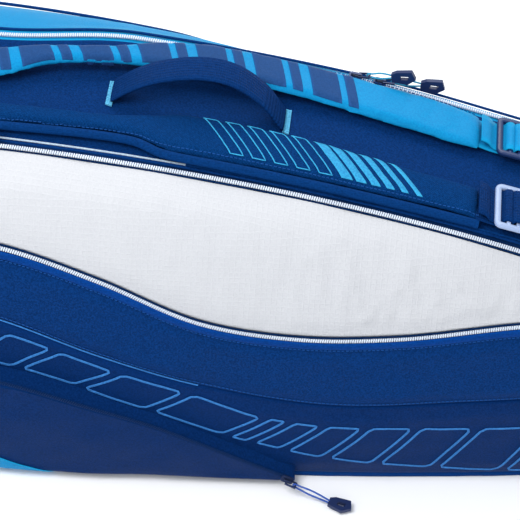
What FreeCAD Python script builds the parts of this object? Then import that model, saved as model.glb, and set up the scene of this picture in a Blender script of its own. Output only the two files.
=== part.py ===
import FreeCAD, Part
import os
from math import acos, asin, cos, pi, radians, sin, sqrt, tan

V = FreeCAD.Vector

# Driving dimensions, in mm. +X runs to the handle end, -Y is the front, +Z is up.
HALF_LENGTH = 385.0
HEIGHT = 340.0
CREST_X = -309.0          # where the spine is highest
SPINE_RADIUS = 2300.0     # the spine's long arc
FRONT_DEPTH = 152.0       # from the middle to the front face, at the head end
REAR_DEPTH = 168.0        # from the middle to the rear face, at the head end
SHOULDER_Z = 130.0        # where the side walls start to turn in
TURN_UNDER = 10.0         # how far the side walls run in at the base
WALL = 4.0                # padded cloth
ZIP_Y = 80.0              # the main zippers' planes
ZIP_GAP = 0.4
SPINE_HALF = 74.0
FRONT_ARC = (-295.0, 336.0, 1984.0)   # crest x, crest z and radius of the front zipper
REAR_ARC = (-320.0, 340.0, 2300.0)
TRACK = (-292.0, 296.0)   # the stretch that the main sliders run on
COIL_BOTTOM, COIL_TOP = 3.0, 4.8
FLAP_X = (-345.0, 315.0)
INNER_WALL_OFFSET = -24.0
POCKET_DEPTH = 14.0
CORD_DIAMETER = 1.6
PULL_LENGTH = 34.0
SHORT_PULLS = {"rear_left": 20.0, "rear_right": 24.0}   # the two that lie beside each other

# The wave zipper and the seam below it, as (x, z) seen from the front.
WAVE = [
    (-400, 272), (-300, 277), (-211, 273), (-126, 247), (-40, 209), (46, 195), (132, 197),
    (234, 209), (400, 214),
]
SEAM = [
    (-400, 216), (-300, 214), (-213, 197), (-127, 162), (-39, 132), (77, 110), (192, 115),
    (400, 128),
]
POCKET_TOP = [(-332, 148), (-213, 137), (-80, 88), (52, 13)]

# Plan outlines of the two shoulder straps, as (x, y).
FRONT_STRAP_INNER = [
    (-318, -30), (-225, -34), (-132, -32), (-98, -24), (-72, -17.5), (10, -17.5), (90, -23),
    (189, -32),
]
FRONT_STRAP_OUTER = [
    (-318, -64), (-225, -63), (-136, -60), (-106, -62), (-84, -70), (-50, -72), (90, -72),
    (189, -71),
]
REAR_STRAP_INNER = [
    (-318, -14), (-230, -5), (-190, 15), (-122, 28), (14, 35), (81, 29), (162, 19), (189, 19),
]
REAR_STRAP_OUTER = [
    (-318, 26), (-238, 35), (-152, 49), (-92, 64), (-39, 70), (60, 71), (151, 69), (189, 61),
]

HANDLE_Y = 4.0
HANDLE_X = (-134.0, 14.0)
HANDLE_RISE = 50.0
HANDLE_WIDTH = 26.0
NECK = 8.0                # width of the arch where it turns on its seams
NECK_FROM, NECK_TO = 4.2, 12.0

# The ladder locks: where each lies across the spine, and its width.
LOCK_X = 203.0
LOCKS = {"front": (-49.0, 52.0), "rear": (41.0, 48.0)}
LOCK_LIFT = 8.6           # the lock's middle plane above the spine
LOCK_RIM = 6.6            # from a lock's side to the webbing in it


def spine_z(x):
    return HEIGHT - (x - CREST_X) ** 2 / (2 * SPINE_RADIUS)


def rounding(x, start, reach):
    """0 on the straight part, 1 at the end face of a rounded end."""
    u = min(1.0, max(0.0, (abs(x) - start) / reach))
    return 1 - sqrt(1 - u * u)


def size_at(x, offset):
    """Front depth, rear depth, top and bottom of the bag at x, grown by offset."""
    end = HALF_LENGTH + offset
    front = FRONT_DEPTH - max(0.0, x + 240) ** 2 / 6300
    rear = REAR_DEPTH - 0.05 * (x + 240) - (x + 240) ** 2 / 9000
    top = spine_z(x)
    bottom = 0.0
    if x < 0:
        k = rounding(x, end - 110, 110)
        front, rear, top, bottom = front - 70 * k, rear - 75 * k, top - 90 * k, bottom + 25 * k
    else:
        k = rounding(x, end - 70, 70)
        front, rear, top, bottom = front - 45 * k, rear - 45 * k, top - 55 * k, bottom + 20 * k
    return front + offset, rear + offset, top + offset, bottom


def half_section(depth, top, bottom, square, crown, side):
    """Points up one side of the section, from the base edge to the middle of the top."""
    points = [
        (side * (depth - TURN_UNDER), bottom),
        (side * (depth - TURN_UNDER / 4), (bottom + SHOULDER_Z) / 2),
        (side * depth, SHOULDER_Z),
    ]
    for angle in (14, 30, 46, 62, 77):
        a = radians(angle)
        y = side * depth * cos(a) ** (2 / square)
        points.append((y, SHOULDER_Z + (top - SHOULDER_Z) * sin(a) ** (2 / crown)))
    points.append((0.0, top))
    return points


def section(x, offset, bottom):
    front, rear, top, low = size_at(x, offset)
    low = low if bottom is None else bottom
    up = [V(x, y, z) for y, z in half_section(front, top, low, 5, 2.4, -1)]
    down = [V(x, y, z) for y, z in half_section(rear, top, low, 7, 3, 1)][::-1]
    curves = []
    for points in (up, down):
        curve = Part.BSplineCurve()
        curve.interpolate(points)
        curves.append(curve.toShape())
    return Part.Wire(curves + [Part.makeLine(down[-1], up[0])])


def bag(offset, bottom=None):
    """The whole bag as one solid, grown by offset."""
    end = HALF_LENGTH + offset
    xs = [-(end - 110) - 110 * u for u in (1, 0.99, 0.94, 0.83, 0.62, 0.33, 0)]
    xs += [-190, -90, 10, 110, 215]
    xs += [(end - 70) + 70 * u for u in (0, 0.4, 0.7, 0.9, 0.99, 1)]
    return Part.makeLoft([section(x, offset, bottom) for x in xs], True, True)


BAGS = {}


def layer(outer, inner):
    """The cloth between two offsets of the bag's surface."""
    key = (outer, inner)
    if key not in BAGS:
        BAGS[key] = bag(outer).cut(bag(inner, -6.0))
    return BAGS[key]


def block(x0, x1, y0, y1, z0, z1):
    return Part.makeBox(x1 - x0, y1 - y0, z1 - z0, V(x0, y0, z0))


def spline(points):
    curve = Part.BSplineCurve()
    curve.interpolate(points)
    return curve.toShape()


def front_region(low, high, x0, x1):
    """A prism through the front of the bag, between two (x, z) curves, from x0 to x1."""
    bottom = spline([V(x, -400, z) for x, z in low])
    top = spline([V(x, -400, z) for x, z in reversed(high)])
    left = Part.makeLine(top.Vertexes[1].Point, bottom.Vertexes[0].Point)
    right = Part.makeLine(bottom.Vertexes[1].Point, top.Vertexes[0].Point)
    face = Part.Face(Part.Wire([bottom, right, top, left]))
    return face.extrude(V(0, 395, 0)).common(block(x0, x1, -400, -4, -10, 500))


def shifted(curve, dz):
    return [(x, z + dz) for x, z in curve]


def plan_region(inner, outer):
    """An upright prism over the bag between two plan curves."""
    a = spline([V(x, y, 180) for x, y in inner])
    b = spline([V(x, y, 180) for x, y in reversed(outer)])
    ends = [Part.makeLine(a.Vertexes[1].Point, b.Vertexes[0].Point)]
    ends.append(Part.makeLine(b.Vertexes[1].Point, a.Vertexes[0].Point))
    face = Part.Face(Part.Wire([a, ends[0], b, ends[1]]))
    return face.extrude(V(0, 0, 300))


def save(name, shape):
    if len(shape.Solids) == 1:
        shape = shape.Solids[0]
    shape.exportStep("parts/" + name + ".step")


# ---- the frame of the bag: base, divider, spine and ends

def base_outline(inset, z, thick):
    xs = [-360, -300, -240, -140, -20, 100, 220, 320, 365]
    front, rear = [], []
    for x in xs:
        f, r, _, _ = size_at(x, 0)
        front.append(V(x, -(f - TURN_UNDER - inset), z))
        rear.append(V(x, r - TURN_UNDER - inset, z))
    a, b = spline(front), spline(rear[::-1])
    ends = [Part.makeLine(front[-1], rear[-1]), Part.makeLine(rear[0], front[0])]
    face = Part.Face(Part.Wire([a, ends[0], b, ends[1]]))
    return face.extrude(V(0, 0, thick))


def make_base():
    save("base_panel", base_outline(3, 0, 5))
    save("base_stiffener", base_outline(22, 5.5, 3))


def make_divider():
    xs = [-352, -330, -290, -200, -80, 60, 200, 300, 335, 352]
    top = [V(x, -3, size_at(x, -9)[2]) for x in xs]
    floor = [V(352, -3, 9.5), V(-352, -3, 9.5)]
    edges = [spline(top), Part.makeLine(top[-1], floor[0])]
    edges += [Part.makeLine(floor[0], floor[1]), Part.makeLine(floor[1], top[0])]
    save("centre_divider", Part.Face(Part.Wire(edges)).extrude(V(0, 6, 0)))


def make_spine():
    ring = layer(0.0, -WALL).common(block(-400, 400, -SPINE_HALF, SPINE_HALF, 6.5, 400))
    save("spine_panel", ring.common(block(-330, 330, -100, 100, 120, 400)))
    save("head_end_panel", ring.common(block(-400, -330.6, -100, 100, 0, 400)))
    save("handle_end_panel", ring.common(block(330.6, 400, -100, 100, 0, 400)))


def zip_track(arc, side):
    """The long coil on top of a main zipper's tapes, as a true arc that the sliders follow."""
    x0, z0, radius = arc

    def curve(height):
        r = radius + height
        centre = z0 - radius
        points = []
        for x in (TRACK[0], (TRACK[0] + TRACK[1]) / 2, TRACK[1]):
            points.append(V(x, side * ZIP_Y - 2, centre + sqrt(r * r - (x - x0) ** 2)))
        return points

    low, high = curve(COIL_BOTTOM), curve(COIL_TOP)
    edges = [
        Part.Arc(*low).toShape(),
        Part.makeLine(low[2], high[2]),
        Part.Arc(*high).toShape(),
        Part.makeLine(high[0], low[0]),
    ]
    return Part.Face(Part.Wire(edges)).extrude(V(0, 4, 0))


def make_main_zippers():
    cloth = layer(0.0, -2.0)
    for name, arc, side in (("front", FRONT_ARC, -1), ("rear", REAR_ARC, 1)):
        inner = sorted((side * (SPINE_HALF + 0.6), side * (ZIP_Y - ZIP_GAP / 2)))
        outer = sorted((side * (ZIP_Y + ZIP_GAP / 2), side * 85.0))
        save(name + "_zip_spine_tape", cloth.common(block(-400, 400, *inner, 10, 400)))
        save(name + "_zip_cover_tape", cloth.common(block(-400, 400, *outer, 12, 400)))
        save(name + "_zip_coil", zip_track(arc, side))
    piping = layer(2.4, 0.3).common(block(-400, 400, -72.5, -69.5, 200, 400))
    save("front_piping", piping.common(block(-330, 330, -100, 0, 0, 400)))
    piping = layer(2.4, 0.3).common(block(-400, 400, 87, 90, 40, 400))
    save("rear_piping", piping)


# ---- the front cover, its wave flap and the accessory pocket

def make_front_cover():
    cloth = layer(0.0, -WALL).common(block(-400, 400, -300, -85.6, 8, 400))
    above = front_region(shifted(WAVE, 4.2), [(-400, 480), (0, 470), (400, 480)], -400, 400)
    save("white_panel", cloth.common(above))
    below = front_region([(-400, 0), (0, 1), (400, 0)], shifted(WAVE, 3.8), -400, 400)
    low = cloth.common(below)
    ends = low.cut(block(FLAP_X[0] - 1.5, FLAP_X[1] + 1.5, -300, 0, -10, 500))
    save("front_cover_ends", ends)
    wall = layer(INNER_WALL_OFFSET, INNER_WALL_OFFSET - 2.0)
    wall = wall.common(block(-338, 308, -300, -86, 10, 400))
    save("front_inner_wall", wall.common(front_region(
        [(-400, 0), (0, 1), (400, 0)], shifted(WAVE, 14), -400, 400)))


def flap_band(low, high, cloth):
    return cloth.common(front_region(low, high, *FLAP_X))


def make_front_flap():
    cloth = layer(0.0, -WALL).common(block(-400, 400, -300, -88, 8, 400))
    tape = layer(0.0, -2.0).common(block(-400, 400, -300, -88, 8, 400))
    save("wave_zip_tape", flap_band(shifted(WAVE, -7), shifted(WAVE, 3), tape))
    raised = layer(2.2, 0.4).common(block(-400, 400, -300, -88, 8, 400))
    save("wave_zip_coil", flap_band(shifted(WAVE, -2.5), shifted(WAVE, 1.5), raised))
    save("front_upper_panel", flap_band(shifted(SEAM, 0.4), shifted(WAVE, -7.6), cloth))
    floor = [(-400, 0), (0, 1), (400, 0)]
    save("front_lower_panel", flap_band(floor, shifted(SEAM, -0.4), cloth))


def prism(points, y0=-400.0, y1=-5.0):
    corners = [V(x, y0, z) for x, z in points]
    return Part.Face(Part.makePolygon(corners + corners[:1])).extrude(V(0, y1 - y0, 0))


def make_pocket():
    edge = POCKET_TOP
    top = [(x, z - 4) for x, z in edge[:3]]
    outline = [(-332, 24)] + top + [(14, 30), (10, 24)]
    hollow = [(-329, 27), (-329, 160), (-80, 110), (10, 60), (2, 27)]
    dish = layer(POCKET_DEPTH, 1.2).common(prism(outline))
    save("pocket_panel", dish.cut(bag(POCKET_DEPTH - 2.5).common(prism(hollow))))
    band = [(x, z - 3) for x, z in edge] + [(x, z + 3) for x, z in reversed(edge)]
    save("pocket_zip", layer(POCKET_DEPTH + 1.0, 0.5).common(prism(band)))


# ---- the rear cover

def make_rear_cover():
    save("rear_panel", layer(0.0, -WALL).common(block(-400, 400, 85.6, 300, 8, 400)))


# ---- the carry handle

def handle_chord(x):
    (x0, x1) = HANDLE_X
    return spine_z(x0) + (spine_z(x1) - spine_z(x0)) * (x - x0) / (x1 - x0)


def handle_arch():
    """The webbing's arch, as one band standing on the spine."""
    middle, half = sum(HANDLE_X) / 2, (HANDLE_X[1] - HANDLE_X[0]) / 2

    def run(grow):
        points = []
        for angle in (180, 165, 145, 120, 90, 60, 35, 15, 0):
            a = radians(angle)
            x = middle + (half + grow) * cos(a)
            z = handle_chord(x) + (HANDLE_RISE + grow) * sin(a)
            points.append(V(x, HANDLE_Y - HANDLE_WIDTH / 2, z + 1))
        return points

    outer, inner = run(2), run(-2)
    edges = [
        spline(outer),
        Part.makeLine(outer[-1], inner[-1]),
        spline(inner[::-1]),
        Part.makeLine(inner[0], outer[0]),
    ]
    return Part.Face(Part.Wire(edges)).extrude(V(0, HANDLE_WIDTH, 0))


def make_handle():
    x0, x1 = HANDLE_X
    y0, y1 = HANDLE_Y - HANDLE_WIDTH / 2, HANDLE_Y + HANDLE_WIDTH / 2
    arch = handle_arch()
    for x, reach in ((x0, -14), (x1, 14)):
        a, b = sorted((x - reach, x + reach))
        base = handle_chord(x)
        arch = arch.cut(block(a, b, y0 - 1, y1 + 1, 250, base + NECK_FROM))
        for low, high in ((y0 - 1, HANDLE_Y - NECK / 2), (HANDLE_Y + NECK / 2, y1 + 1)):
            arch = arch.cut(block(a, b, low, high, 250, base + NECK_TO))
    save("handle_webbing", arch)
    pads = [block(x0 - 18, x0 - 2.4, y0, y1, 250, 400), block(x1 + 2.4, x1 + 18, y0, y1, 250, 400)]
    save("handle_bartacks", layer(3.0, 0.4).common(pads[0].fuse(pads[1])))


# ---- shoulder straps, ladder locks and webbing

def place(shape, origin, x_axis, z_axis):
    """Moves a shape made in a local frame to where that frame stands in the bag."""
    x = V(*x_axis).normalize()
    z = V(*z_axis)
    z = (z - x * z.dot(x)).normalize()
    y = z.cross(x)
    o = V(*origin)
    matrix = FreeCAD.Matrix(x.x, y.x, z.x, o.x, x.y, y.y, z.y, o.y, x.z, y.z, z.z, o.z, 0, 0, 0, 1)
    return shape.transformed(matrix)


def strap_pad(inner, outer):
    return layer(8.5, 2.5).common(plan_region(inner, outer))


def lock_frame(y):
    """Origin and axes of a ladder lock: its local X runs down the bag, local Z out of the spine."""
    slope = -(LOCK_X - CREST_X) / SPINE_RADIUS
    return (LOCK_X, y, spine_z(LOCK_X) + LOCK_LIFT), (1, 0, slope), (-slope, 0, 1)


def ladder_lock(width):
    half = width / 2
    body = block(0, 34, -half, half, -2, 2)
    for x, wide in ((4, 6), (14, 4), (23, 4)):
        body = body.cut(block(x, x + wide, -half + 6, half - 6, -3, 3))
    corners = [e for e in body.Edges if abs(e.tangentAt(e.FirstParameter).z) > 0.99 and e.Length < 5]
    outer = [e for e in corners if abs(abs(e.CenterOfMass.y) - half) < 0.1]
    return body.makeFillet(5, outer)


def strap_loop(width):
    """The strap's end webbing, folded round the lock's first bar."""
    half = width / 2 - LOCK_RIM
    loop = block(-12.4, 6.5, -half, half, 3.1, 4.5)
    loop = loop.fuse(block(5.1, 6.5, -half, half, -4.5, 4.5))
    return loop.fuse(block(-12.4, 6.5, -half, half, -4.5, -3.1)).removeSplitter()


def tail_webbing(width):
    """The adjuster webbing, threaded over the lock's third bar, with its free tail below."""
    half = width / 2 - LOCK_RIM
    web = block(24.2, 40, -half, half, -3.8, -2.3)
    web = web.fuse(block(24.2, 25.8, -half, half, -3.8, 3.8))
    web = web.fuse(block(15.2, 25.8, -half, half, 2.3, 3.8))
    web = web.fuse(block(15.2, 16.8, -half, half, -5.8, 3.8))
    return web.fuse(block(15.2, 42, -half, half, -5.8, -4.3)).removeSplitter()


def make_straps():
    save("front_strap_pad", strap_pad(FRONT_STRAP_INNER, [(x, y + 4.4) for x, y in FRONT_STRAP_OUTER]))
    save("front_strap_binding", layer(9.5, 2.5).common(
        plan_region([(x, y + 4.0) for x, y in FRONT_STRAP_OUTER], FRONT_STRAP_OUTER)))
    save("rear_strap_pad", strap_pad(REAR_STRAP_INNER, REAR_STRAP_OUTER))
    for name, (y, width) in LOCKS.items():
        origin, x_axis, z_axis = lock_frame(y)
        save(name + "_ladder_lock", place(ladder_lock(width), origin, x_axis, z_axis))
        save(name + "_strap_loop", place(strap_loop(width), origin, x_axis, z_axis))
        save(name + "_web_tail", place(tail_webbing(width), origin, x_axis, z_axis))
        half = width / 2 - LOCK_RIM
        save(name + "_anchor_web", layer(5.5, 3.9).common(block(248, 344, y - half, y + half, 150, 400)))
    yoke = layer(2.0, 0.4).common(block(-346, -321, -66, 28, 250, 400))
    save("strap_yoke", yoke)


# ---- zipper sliders, their pull cords and tabs

def filleted(points, share=0.45):
    """Straight runs joined by tangent arcs, as one wire, and the arcs' radii."""
    p = [V(*q) for q in points]
    edges, radii, start = [], [], p[0]
    for a, b, c in zip(p, p[1:], p[2:]):
        u, w = (a - b), (c - b)
        lu, lw = u.Length, w.Length
        u, w = u * (1 / lu), w * (1 / lw)
        half = (pi - acos(max(-1, min(1, u.dot(w))))) / 2
        reach = share * min(lu, lw)
        radii.append(reach / tan(half))
        s, e = b + u * reach, b + w * reach
        out = (u + w).normalize()
        m = b + out * (radii[-1] / cos(half) - radii[-1])
        edges.append(Part.makeLine(start, s))
        edges.append(Part.Arc(s, m, e).toShape())
        start = e
    edges.append(Part.makeLine(start, p[-1]))
    return Part.Wire(edges), radii


def cord_route(length):
    """The looped cord in the pull's frame: out of the tab, round the bail's bar and back."""
    return [
        (length, 0, 1.5),
        (length * 0.56, 0.5, 3.6),
        (3.0, 0, 2.1),
        (-2.1, 0, 2.1),
        (-2.1, 0, -2.1),
        (3.4, 0, -2.1),
        (length * 0.48, -0.4, -3.1),
        (length, 0, -1.5),
    ]


def cord(name, length):
    wire, radii = filleted(cord_route(length))
    normal = wire.Edges[0].tangentAt(wire.Edges[0].FirstParameter)
    circle = Part.Wire(Part.makeCircle(CORD_DIAMETER / 2, wire.Edges[0].Vertexes[0].Point, normal))
    tube = wire.makePipeShell([circle], True, True)
    expected = pi * CORD_DIAMETER ** 2 / 4 * wire.Length
    print(name, "length %.1f" % wire.Length, "radii", [round(r, 1) for r in radii],
          "volume ratio %.3f" % (tube.Volume / expected))
    return tube


def tab():
    """A slanted ring tab, lying in its own XZ plane with its near edge at the origin."""
    outline = [(0, -4.5), (14, -7.5), (22, -1.5), (19, 7.0), (5, 6.0), (0, 3.5)]
    hole = [(7.5, -2.0), (14.5, -2.0), (16.0, 1.9), (9.0, 1.9)]
    solids = []
    for points, y, thick in ((outline, -2.0, 4.0), (hole, -3.0, 6.0)):
        corners = [V(x, y, z) for x, z in points]
        solids.append(Part.Face(Part.makePolygon(corners + corners[:1])).extrude(V(0, thick, 0)))
    return solids[0].cut(solids[1])


def bail():
    """The slider's own ring, from its bridge to the bar that the cord goes round."""
    ring = block(-10, 0.8, -3.4, 3.4, -0.8, 0.8)
    return ring.cut(block(-8.4, -0.8, -2.2, 2.2, -1, 1))


def slider_body(low):
    """A slider seen in its own frame: local X along the zipper, local Z outward."""
    plate = block(-6, 6, -3.6, 3.6, low, low + 1.6)
    upright = [e for e in plate.Edges if abs(e.Length - 1.6) < 0.01]
    plate = plate.makeFillet(2.2, upright)
    bridge = block(-4.5, 4.5, -1.4, 1.4, low + 1.5, low + 4.2)
    return plate.fuse(bridge.cut(block(-2.8, 2.8, -2, 2, low + 1.7, low + 3.3))).removeSplitter()


def make_slider(name, origin, along, normal, low, pull, lie=None):
    """A slider with its bail, and the cord and tab that swing on the bail.

    pull is the bail bar's place, the way the cord runs from it and the way its loop stands;
    lie turns the tab its own way, where it rests on the floor.
    """
    at, way, up = pull
    length = SHORT_PULLS.get(name, PULL_LENGTH)
    body = place(slider_body(low), origin, along, normal)
    save(name + "_slider", body.fuse(place(bail(), at, way, up)).removeSplitter())
    save(name + "_pull_cord", place(cord(name, length), at, way, up))
    end = V(*at) + V(*way).normalize() * length
    tab_way, tab_up = lie or (way, up)
    save(name + "_pull_tab", place(tab(), tuple(end), tab_way, tab_up))


def on_arc(arc, x, height):
    """A point over a main zipper, and the zipper's direction there."""
    x0, z0, radius = arc
    a = asin((x - x0) / radius)
    r = radius + height
    return (x0 + r * sin(a), z0 - radius + r * cos(a)), (cos(a), -sin(a)), (sin(a), cos(a))


def main_slider(name, arc, side, x, way, lift, aside=0.0):
    """way is +1 or -1, the direction its pull lies; lift and aside are the pull's angles off the zipper."""
    (ox, oz), (tx, tz), (nx, nz) = on_arc(arc, x, 0)
    low = COIL_TOP + 0.4
    y = side * ZIP_Y
    c, s = cos(radians(lift)), sin(radians(lift))
    turn = tan(radians(aside))
    d = (way * tx * c + nx * s, turn, way * tz * c + nz * s)
    up = (nx * c - way * tx * s, 0, nz * c - way * tz * s)
    h = low + 2.6
    along, reach = way * 3.2, 9.0
    at = (
        ox + tx * along + nx * h + d[0] * reach,
        y + turn * reach,
        oz + tz * along + nz * h + d[2] * reach,
    )
    print(name, "bail at", [round(v, 2) for v in at],
          "way", [round(v, 4) for v in d], "up", [round(v, 4) for v in up])
    make_slider(name, (ox, y, oz), (tx, 0, tz), (nx, 0, nz), low, (at, d, up))


def make_wave_slider():
    x, z = 298.0, 212.0
    front, _, top, _ = size_at(x, 0)
    y = -front * (1 - ((z - SHOULDER_Z) / (top - SHOULDER_Z)) ** 2.4) ** 0.2
    pull = ((x + 4.0, y - 9.0, z - 9.0), (0.25, -0.26, -0.93), (0.15, -0.9, 0.2))
    print("wave at", round(y, 2))
    make_slider("wave", (x, y, z), (1, 0.21, 0.03), (0.2, -0.95, 0.22), 4.2, pull)


def make_pocket_slider():
    pull = ((52.5, -152.8, 14.6), (0.94, -0.2, -0.28), (0.25, -0.06, 0.97))
    lie = ((0.97, -0.25, -0.02), (0.25, 0.97, 0))
    make_slider("pocket", (44.0, -146.6, 17.5), (-0.867, -0.116, 0.485), (0.1, -0.97, 0.2), 1.6, pull, lie)


def make_sliders():
    main_slider("front_head", FRONT_ARC, -1, -286.0, 1, 9.0)
    main_slider("front_tail", FRONT_ARC, -1, 262.0, 1, 9.0)
    main_slider("rear_left", REAR_ARC, 1, 72.0, 1, 19.0, -7.0)
    main_slider("rear_right", REAR_ARC, 1, 94.0, 1, 9.0)
    make_wave_slider()
    make_pocket_slider()


os.makedirs("parts", exist_ok=True)
make_base()
make_divider()
make_spine()
make_main_zippers()
make_front_cover()
make_front_flap()
make_pocket()
make_rear_cover()
make_handle()
make_straps()
make_sliders()
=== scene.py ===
from math import acos, asin, copysign, cos, pi, radians, sin, sqrt

import bmesh
import bpy
from mathutils import Matrix, Vector, noise
from mathutils.bvhtree import BVHTree


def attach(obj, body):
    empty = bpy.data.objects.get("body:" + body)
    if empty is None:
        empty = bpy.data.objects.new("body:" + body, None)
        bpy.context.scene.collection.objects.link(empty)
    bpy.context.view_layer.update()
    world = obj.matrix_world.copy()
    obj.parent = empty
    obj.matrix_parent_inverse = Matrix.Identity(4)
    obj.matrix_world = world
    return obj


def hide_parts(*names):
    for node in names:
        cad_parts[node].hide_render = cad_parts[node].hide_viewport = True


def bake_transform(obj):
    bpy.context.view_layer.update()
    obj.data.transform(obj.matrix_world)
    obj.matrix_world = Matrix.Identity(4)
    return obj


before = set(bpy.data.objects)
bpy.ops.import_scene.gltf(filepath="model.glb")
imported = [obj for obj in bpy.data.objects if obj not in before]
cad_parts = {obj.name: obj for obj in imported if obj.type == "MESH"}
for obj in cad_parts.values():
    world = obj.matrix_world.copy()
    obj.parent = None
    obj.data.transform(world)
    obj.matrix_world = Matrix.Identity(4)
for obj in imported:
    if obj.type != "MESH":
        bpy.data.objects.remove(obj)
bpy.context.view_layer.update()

# Sizes and places are in mm, as in the design, and MM turns them into Blender's metres.
MM = 0.001
HALF_LENGTH = 385.0
HEIGHT = 340.0
CREST_X = -309.0
SPINE_RADIUS = 2300.0
FRONT_DEPTH = 152.0
REAR_DEPTH = 168.0
SHOULDER_Z = 130.0
TURN_UNDER = 10.0
HEAD_ROUND, HANDLE_ROUND = 110.0, 70.0   # how far the rounded ends reach along the bag
FRONT_SHAPE = (5.0, 2.4)                 # squareness and crown of each side's section
REAR_SHAPE = (7.0, 3.0)
ZIP_Y = 80.0
SPINE_HALF = 74.0
COVER_Y = 85.6
CLOTH = 3.4
FLAP_X = (-345.0, 315.0)
POCKET_X = (-332.0, 50.0)
HEAD_LEAN, TAIL_LEAN = 20.0, 5.0         # how far in the rear zipper runs at each end

# Curves as (x, z) or, for the straps, (x, y) points.
WAVE = [(-400, 272), (-300, 277), (-211, 273), (-126, 247), (-40, 209), (46, 195), (132, 197), (234, 209),
        (400, 214)]
SEAM = [(-400, 216), (-300, 214), (-213, 197), (-127, 162), (-39, 132), (77, 110), (192, 115), (400, 128)]
POCKET_TOP = [(-332, 148), (-213, 137), (-80, 88), (52, 13)]
# The printed band on the lower front, as (x, z) along its low and its high edge.
BAND_LOW = [(-340, 162), (-216, 148), (-112, 111), (-2, 63), (89, 34), (258, 12), (340, 12)]
BAND_TOP = [(-340, 198), (-214, 184), (-118, 146), (-39, 118), (15, 96), (78, 84), (250, 82), (340, 86)]
FRONT_STRAP_INNER = [(-318, -30), (-225, -34), (-132, -32), (-98, -24), (-72, -17.5), (10, -17.5), (90, -23),
                     (189, -32)]
FRONT_STRAP_OUTER = [(-318, -64), (-225, -63), (-136, -60), (-106, -62), (-84, -70), (-50, -72), (90, -72),
                     (189, -71)]
REAR_STRAP_INNER = [(-318, -14), (-230, -5), (-190, 15), (-122, 28), (14, 35), (81, 29), (162, 19), (189, 19)]
REAR_STRAP_OUTER = [(-318, 26), (-238, 35), (-152, 49), (-92, 64), (-39, 70), (60, 71), (151, 69), (189, 61)]

HANDLE_Y = 4.0
HANDLE_X = (-134.0, 14.0)
# The handle's middle line, as (x, height over the line between its feet).
HANDLE_CURVE = [(-134, 0), (-114, 17), (-93, 30), (-60, 41), (-30, 40), (-4, 24), (14, 0)]
HANDLE_WIDTH = 26.0
LOCK_X = 203.0
LOCKS = {"front": (-49.0, 52.0), "rear": (41.0, 48.0)}   # each ladder lock's y and its width
LOCK_LENGTH = 34.0
LOCK_LIFT = 8.6                          # how high the locks' frames stand over the spine
LOCK_RIM = 6.6
STRAP_X = (-317, 188)                    # where the two straps' cushions start and end
PULL_LENGTH = 34.0
SHORT_PULLS = {"rear_left": 20.0, "rear_right": 24.0}
CORD_DIAMETER = 1.6


# ---- the pull cords: each is one loop from its tab, round the slider's bail and back

# Each pull's bail bar, the way its cord runs and the way its loop stands.
PULLS = {
    "front_head": ((-273.87, -80, 345.13), (0.9884, 0, 0.152), (-0.152, 0, 0.9884)),
    "front_tail": ((276.19, -80, 261.65), (0.9919, 0, -0.1271), (0.1271, 0, 0.9919)),
    "rear_left": ((85.37, 78.89, 314.93), (0.9798, -0.1219, 0.1585), (-0.1597, 0, 0.9872)),
    "rear_right": ((107.55, 80, 309.31), (0.9997, 0, -0.0239), (0.0239, 0, 0.9997)),
    "wave": ((302, -106.85, 203), (0.25, -0.26, -0.93), (0.15, -0.9, 0.2)),
    "pocket": ((52.5, -152.8, 14.6), (0.94, -0.2, -0.28), (0.25, -0.06, 0.97)),
}


def cord_route(pull):
    """The cord's points in the pull's own frame: x along the pull, z across the loop."""
    length = SHORT_PULLS.get(pull, PULL_LENGTH)
    return [
        (length, 0, 1.5),
        (length * 0.56, 0.5, 3.6),
        (3.0, 0, 2.1),
        (-2.1, 0, 2.1),
        (-2.1, 0, -2.1),
        (3.4, 0, -2.1),
        (length * 0.48, -0.4, -3.1),
        (length, 0, -1.5),
    ]


def axes(origin, x_axis, z_axis):
    """A local frame as a matrix in metres; the local frame's own numbers are in mm."""
    x = Vector(x_axis).normalized()
    z = Vector(z_axis)
    z = (z - x * z.dot(x)).normalized()
    y = z.cross(x)
    turn = Matrix((x, y, z)).transposed().to_4x4()
    return Matrix.Translation(Vector(origin) * MM) @ turn @ Matrix.Scale(MM, 4)


def link(name, data):
    """An object of that data, added to the scene."""
    made = bpy.data.objects.new(name, data)
    bpy.context.scene.collection.objects.link(made)
    return made


def make_cord(name, material):
    """A pull's cord as a round curve along its route."""
    at, way, up = PULLS[name]
    to_world = axes(at, way, up)
    curve = bpy.data.curves.new(name + "_cord_line", "CURVE")
    curve.dimensions = "3D"
    curve.bevel_depth = CORD_DIAMETER / 2 * MM
    curve.bevel_resolution = 4
    spline = curve.splines.new("NURBS")
    route = cord_route(name)
    spline.points.add(len(route) - 1)
    for point, at_mm in zip(spline.points, route):
        point.co = (*(to_world @ Vector(at_mm)), 1)
    spline.order_u = 3
    spline.use_endpoint_u = True
    spline.resolution_u = 12
    cord = link(name + "_cord", curve)
    cord.data.materials.append(material)
    return cord


# ---- materials

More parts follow.
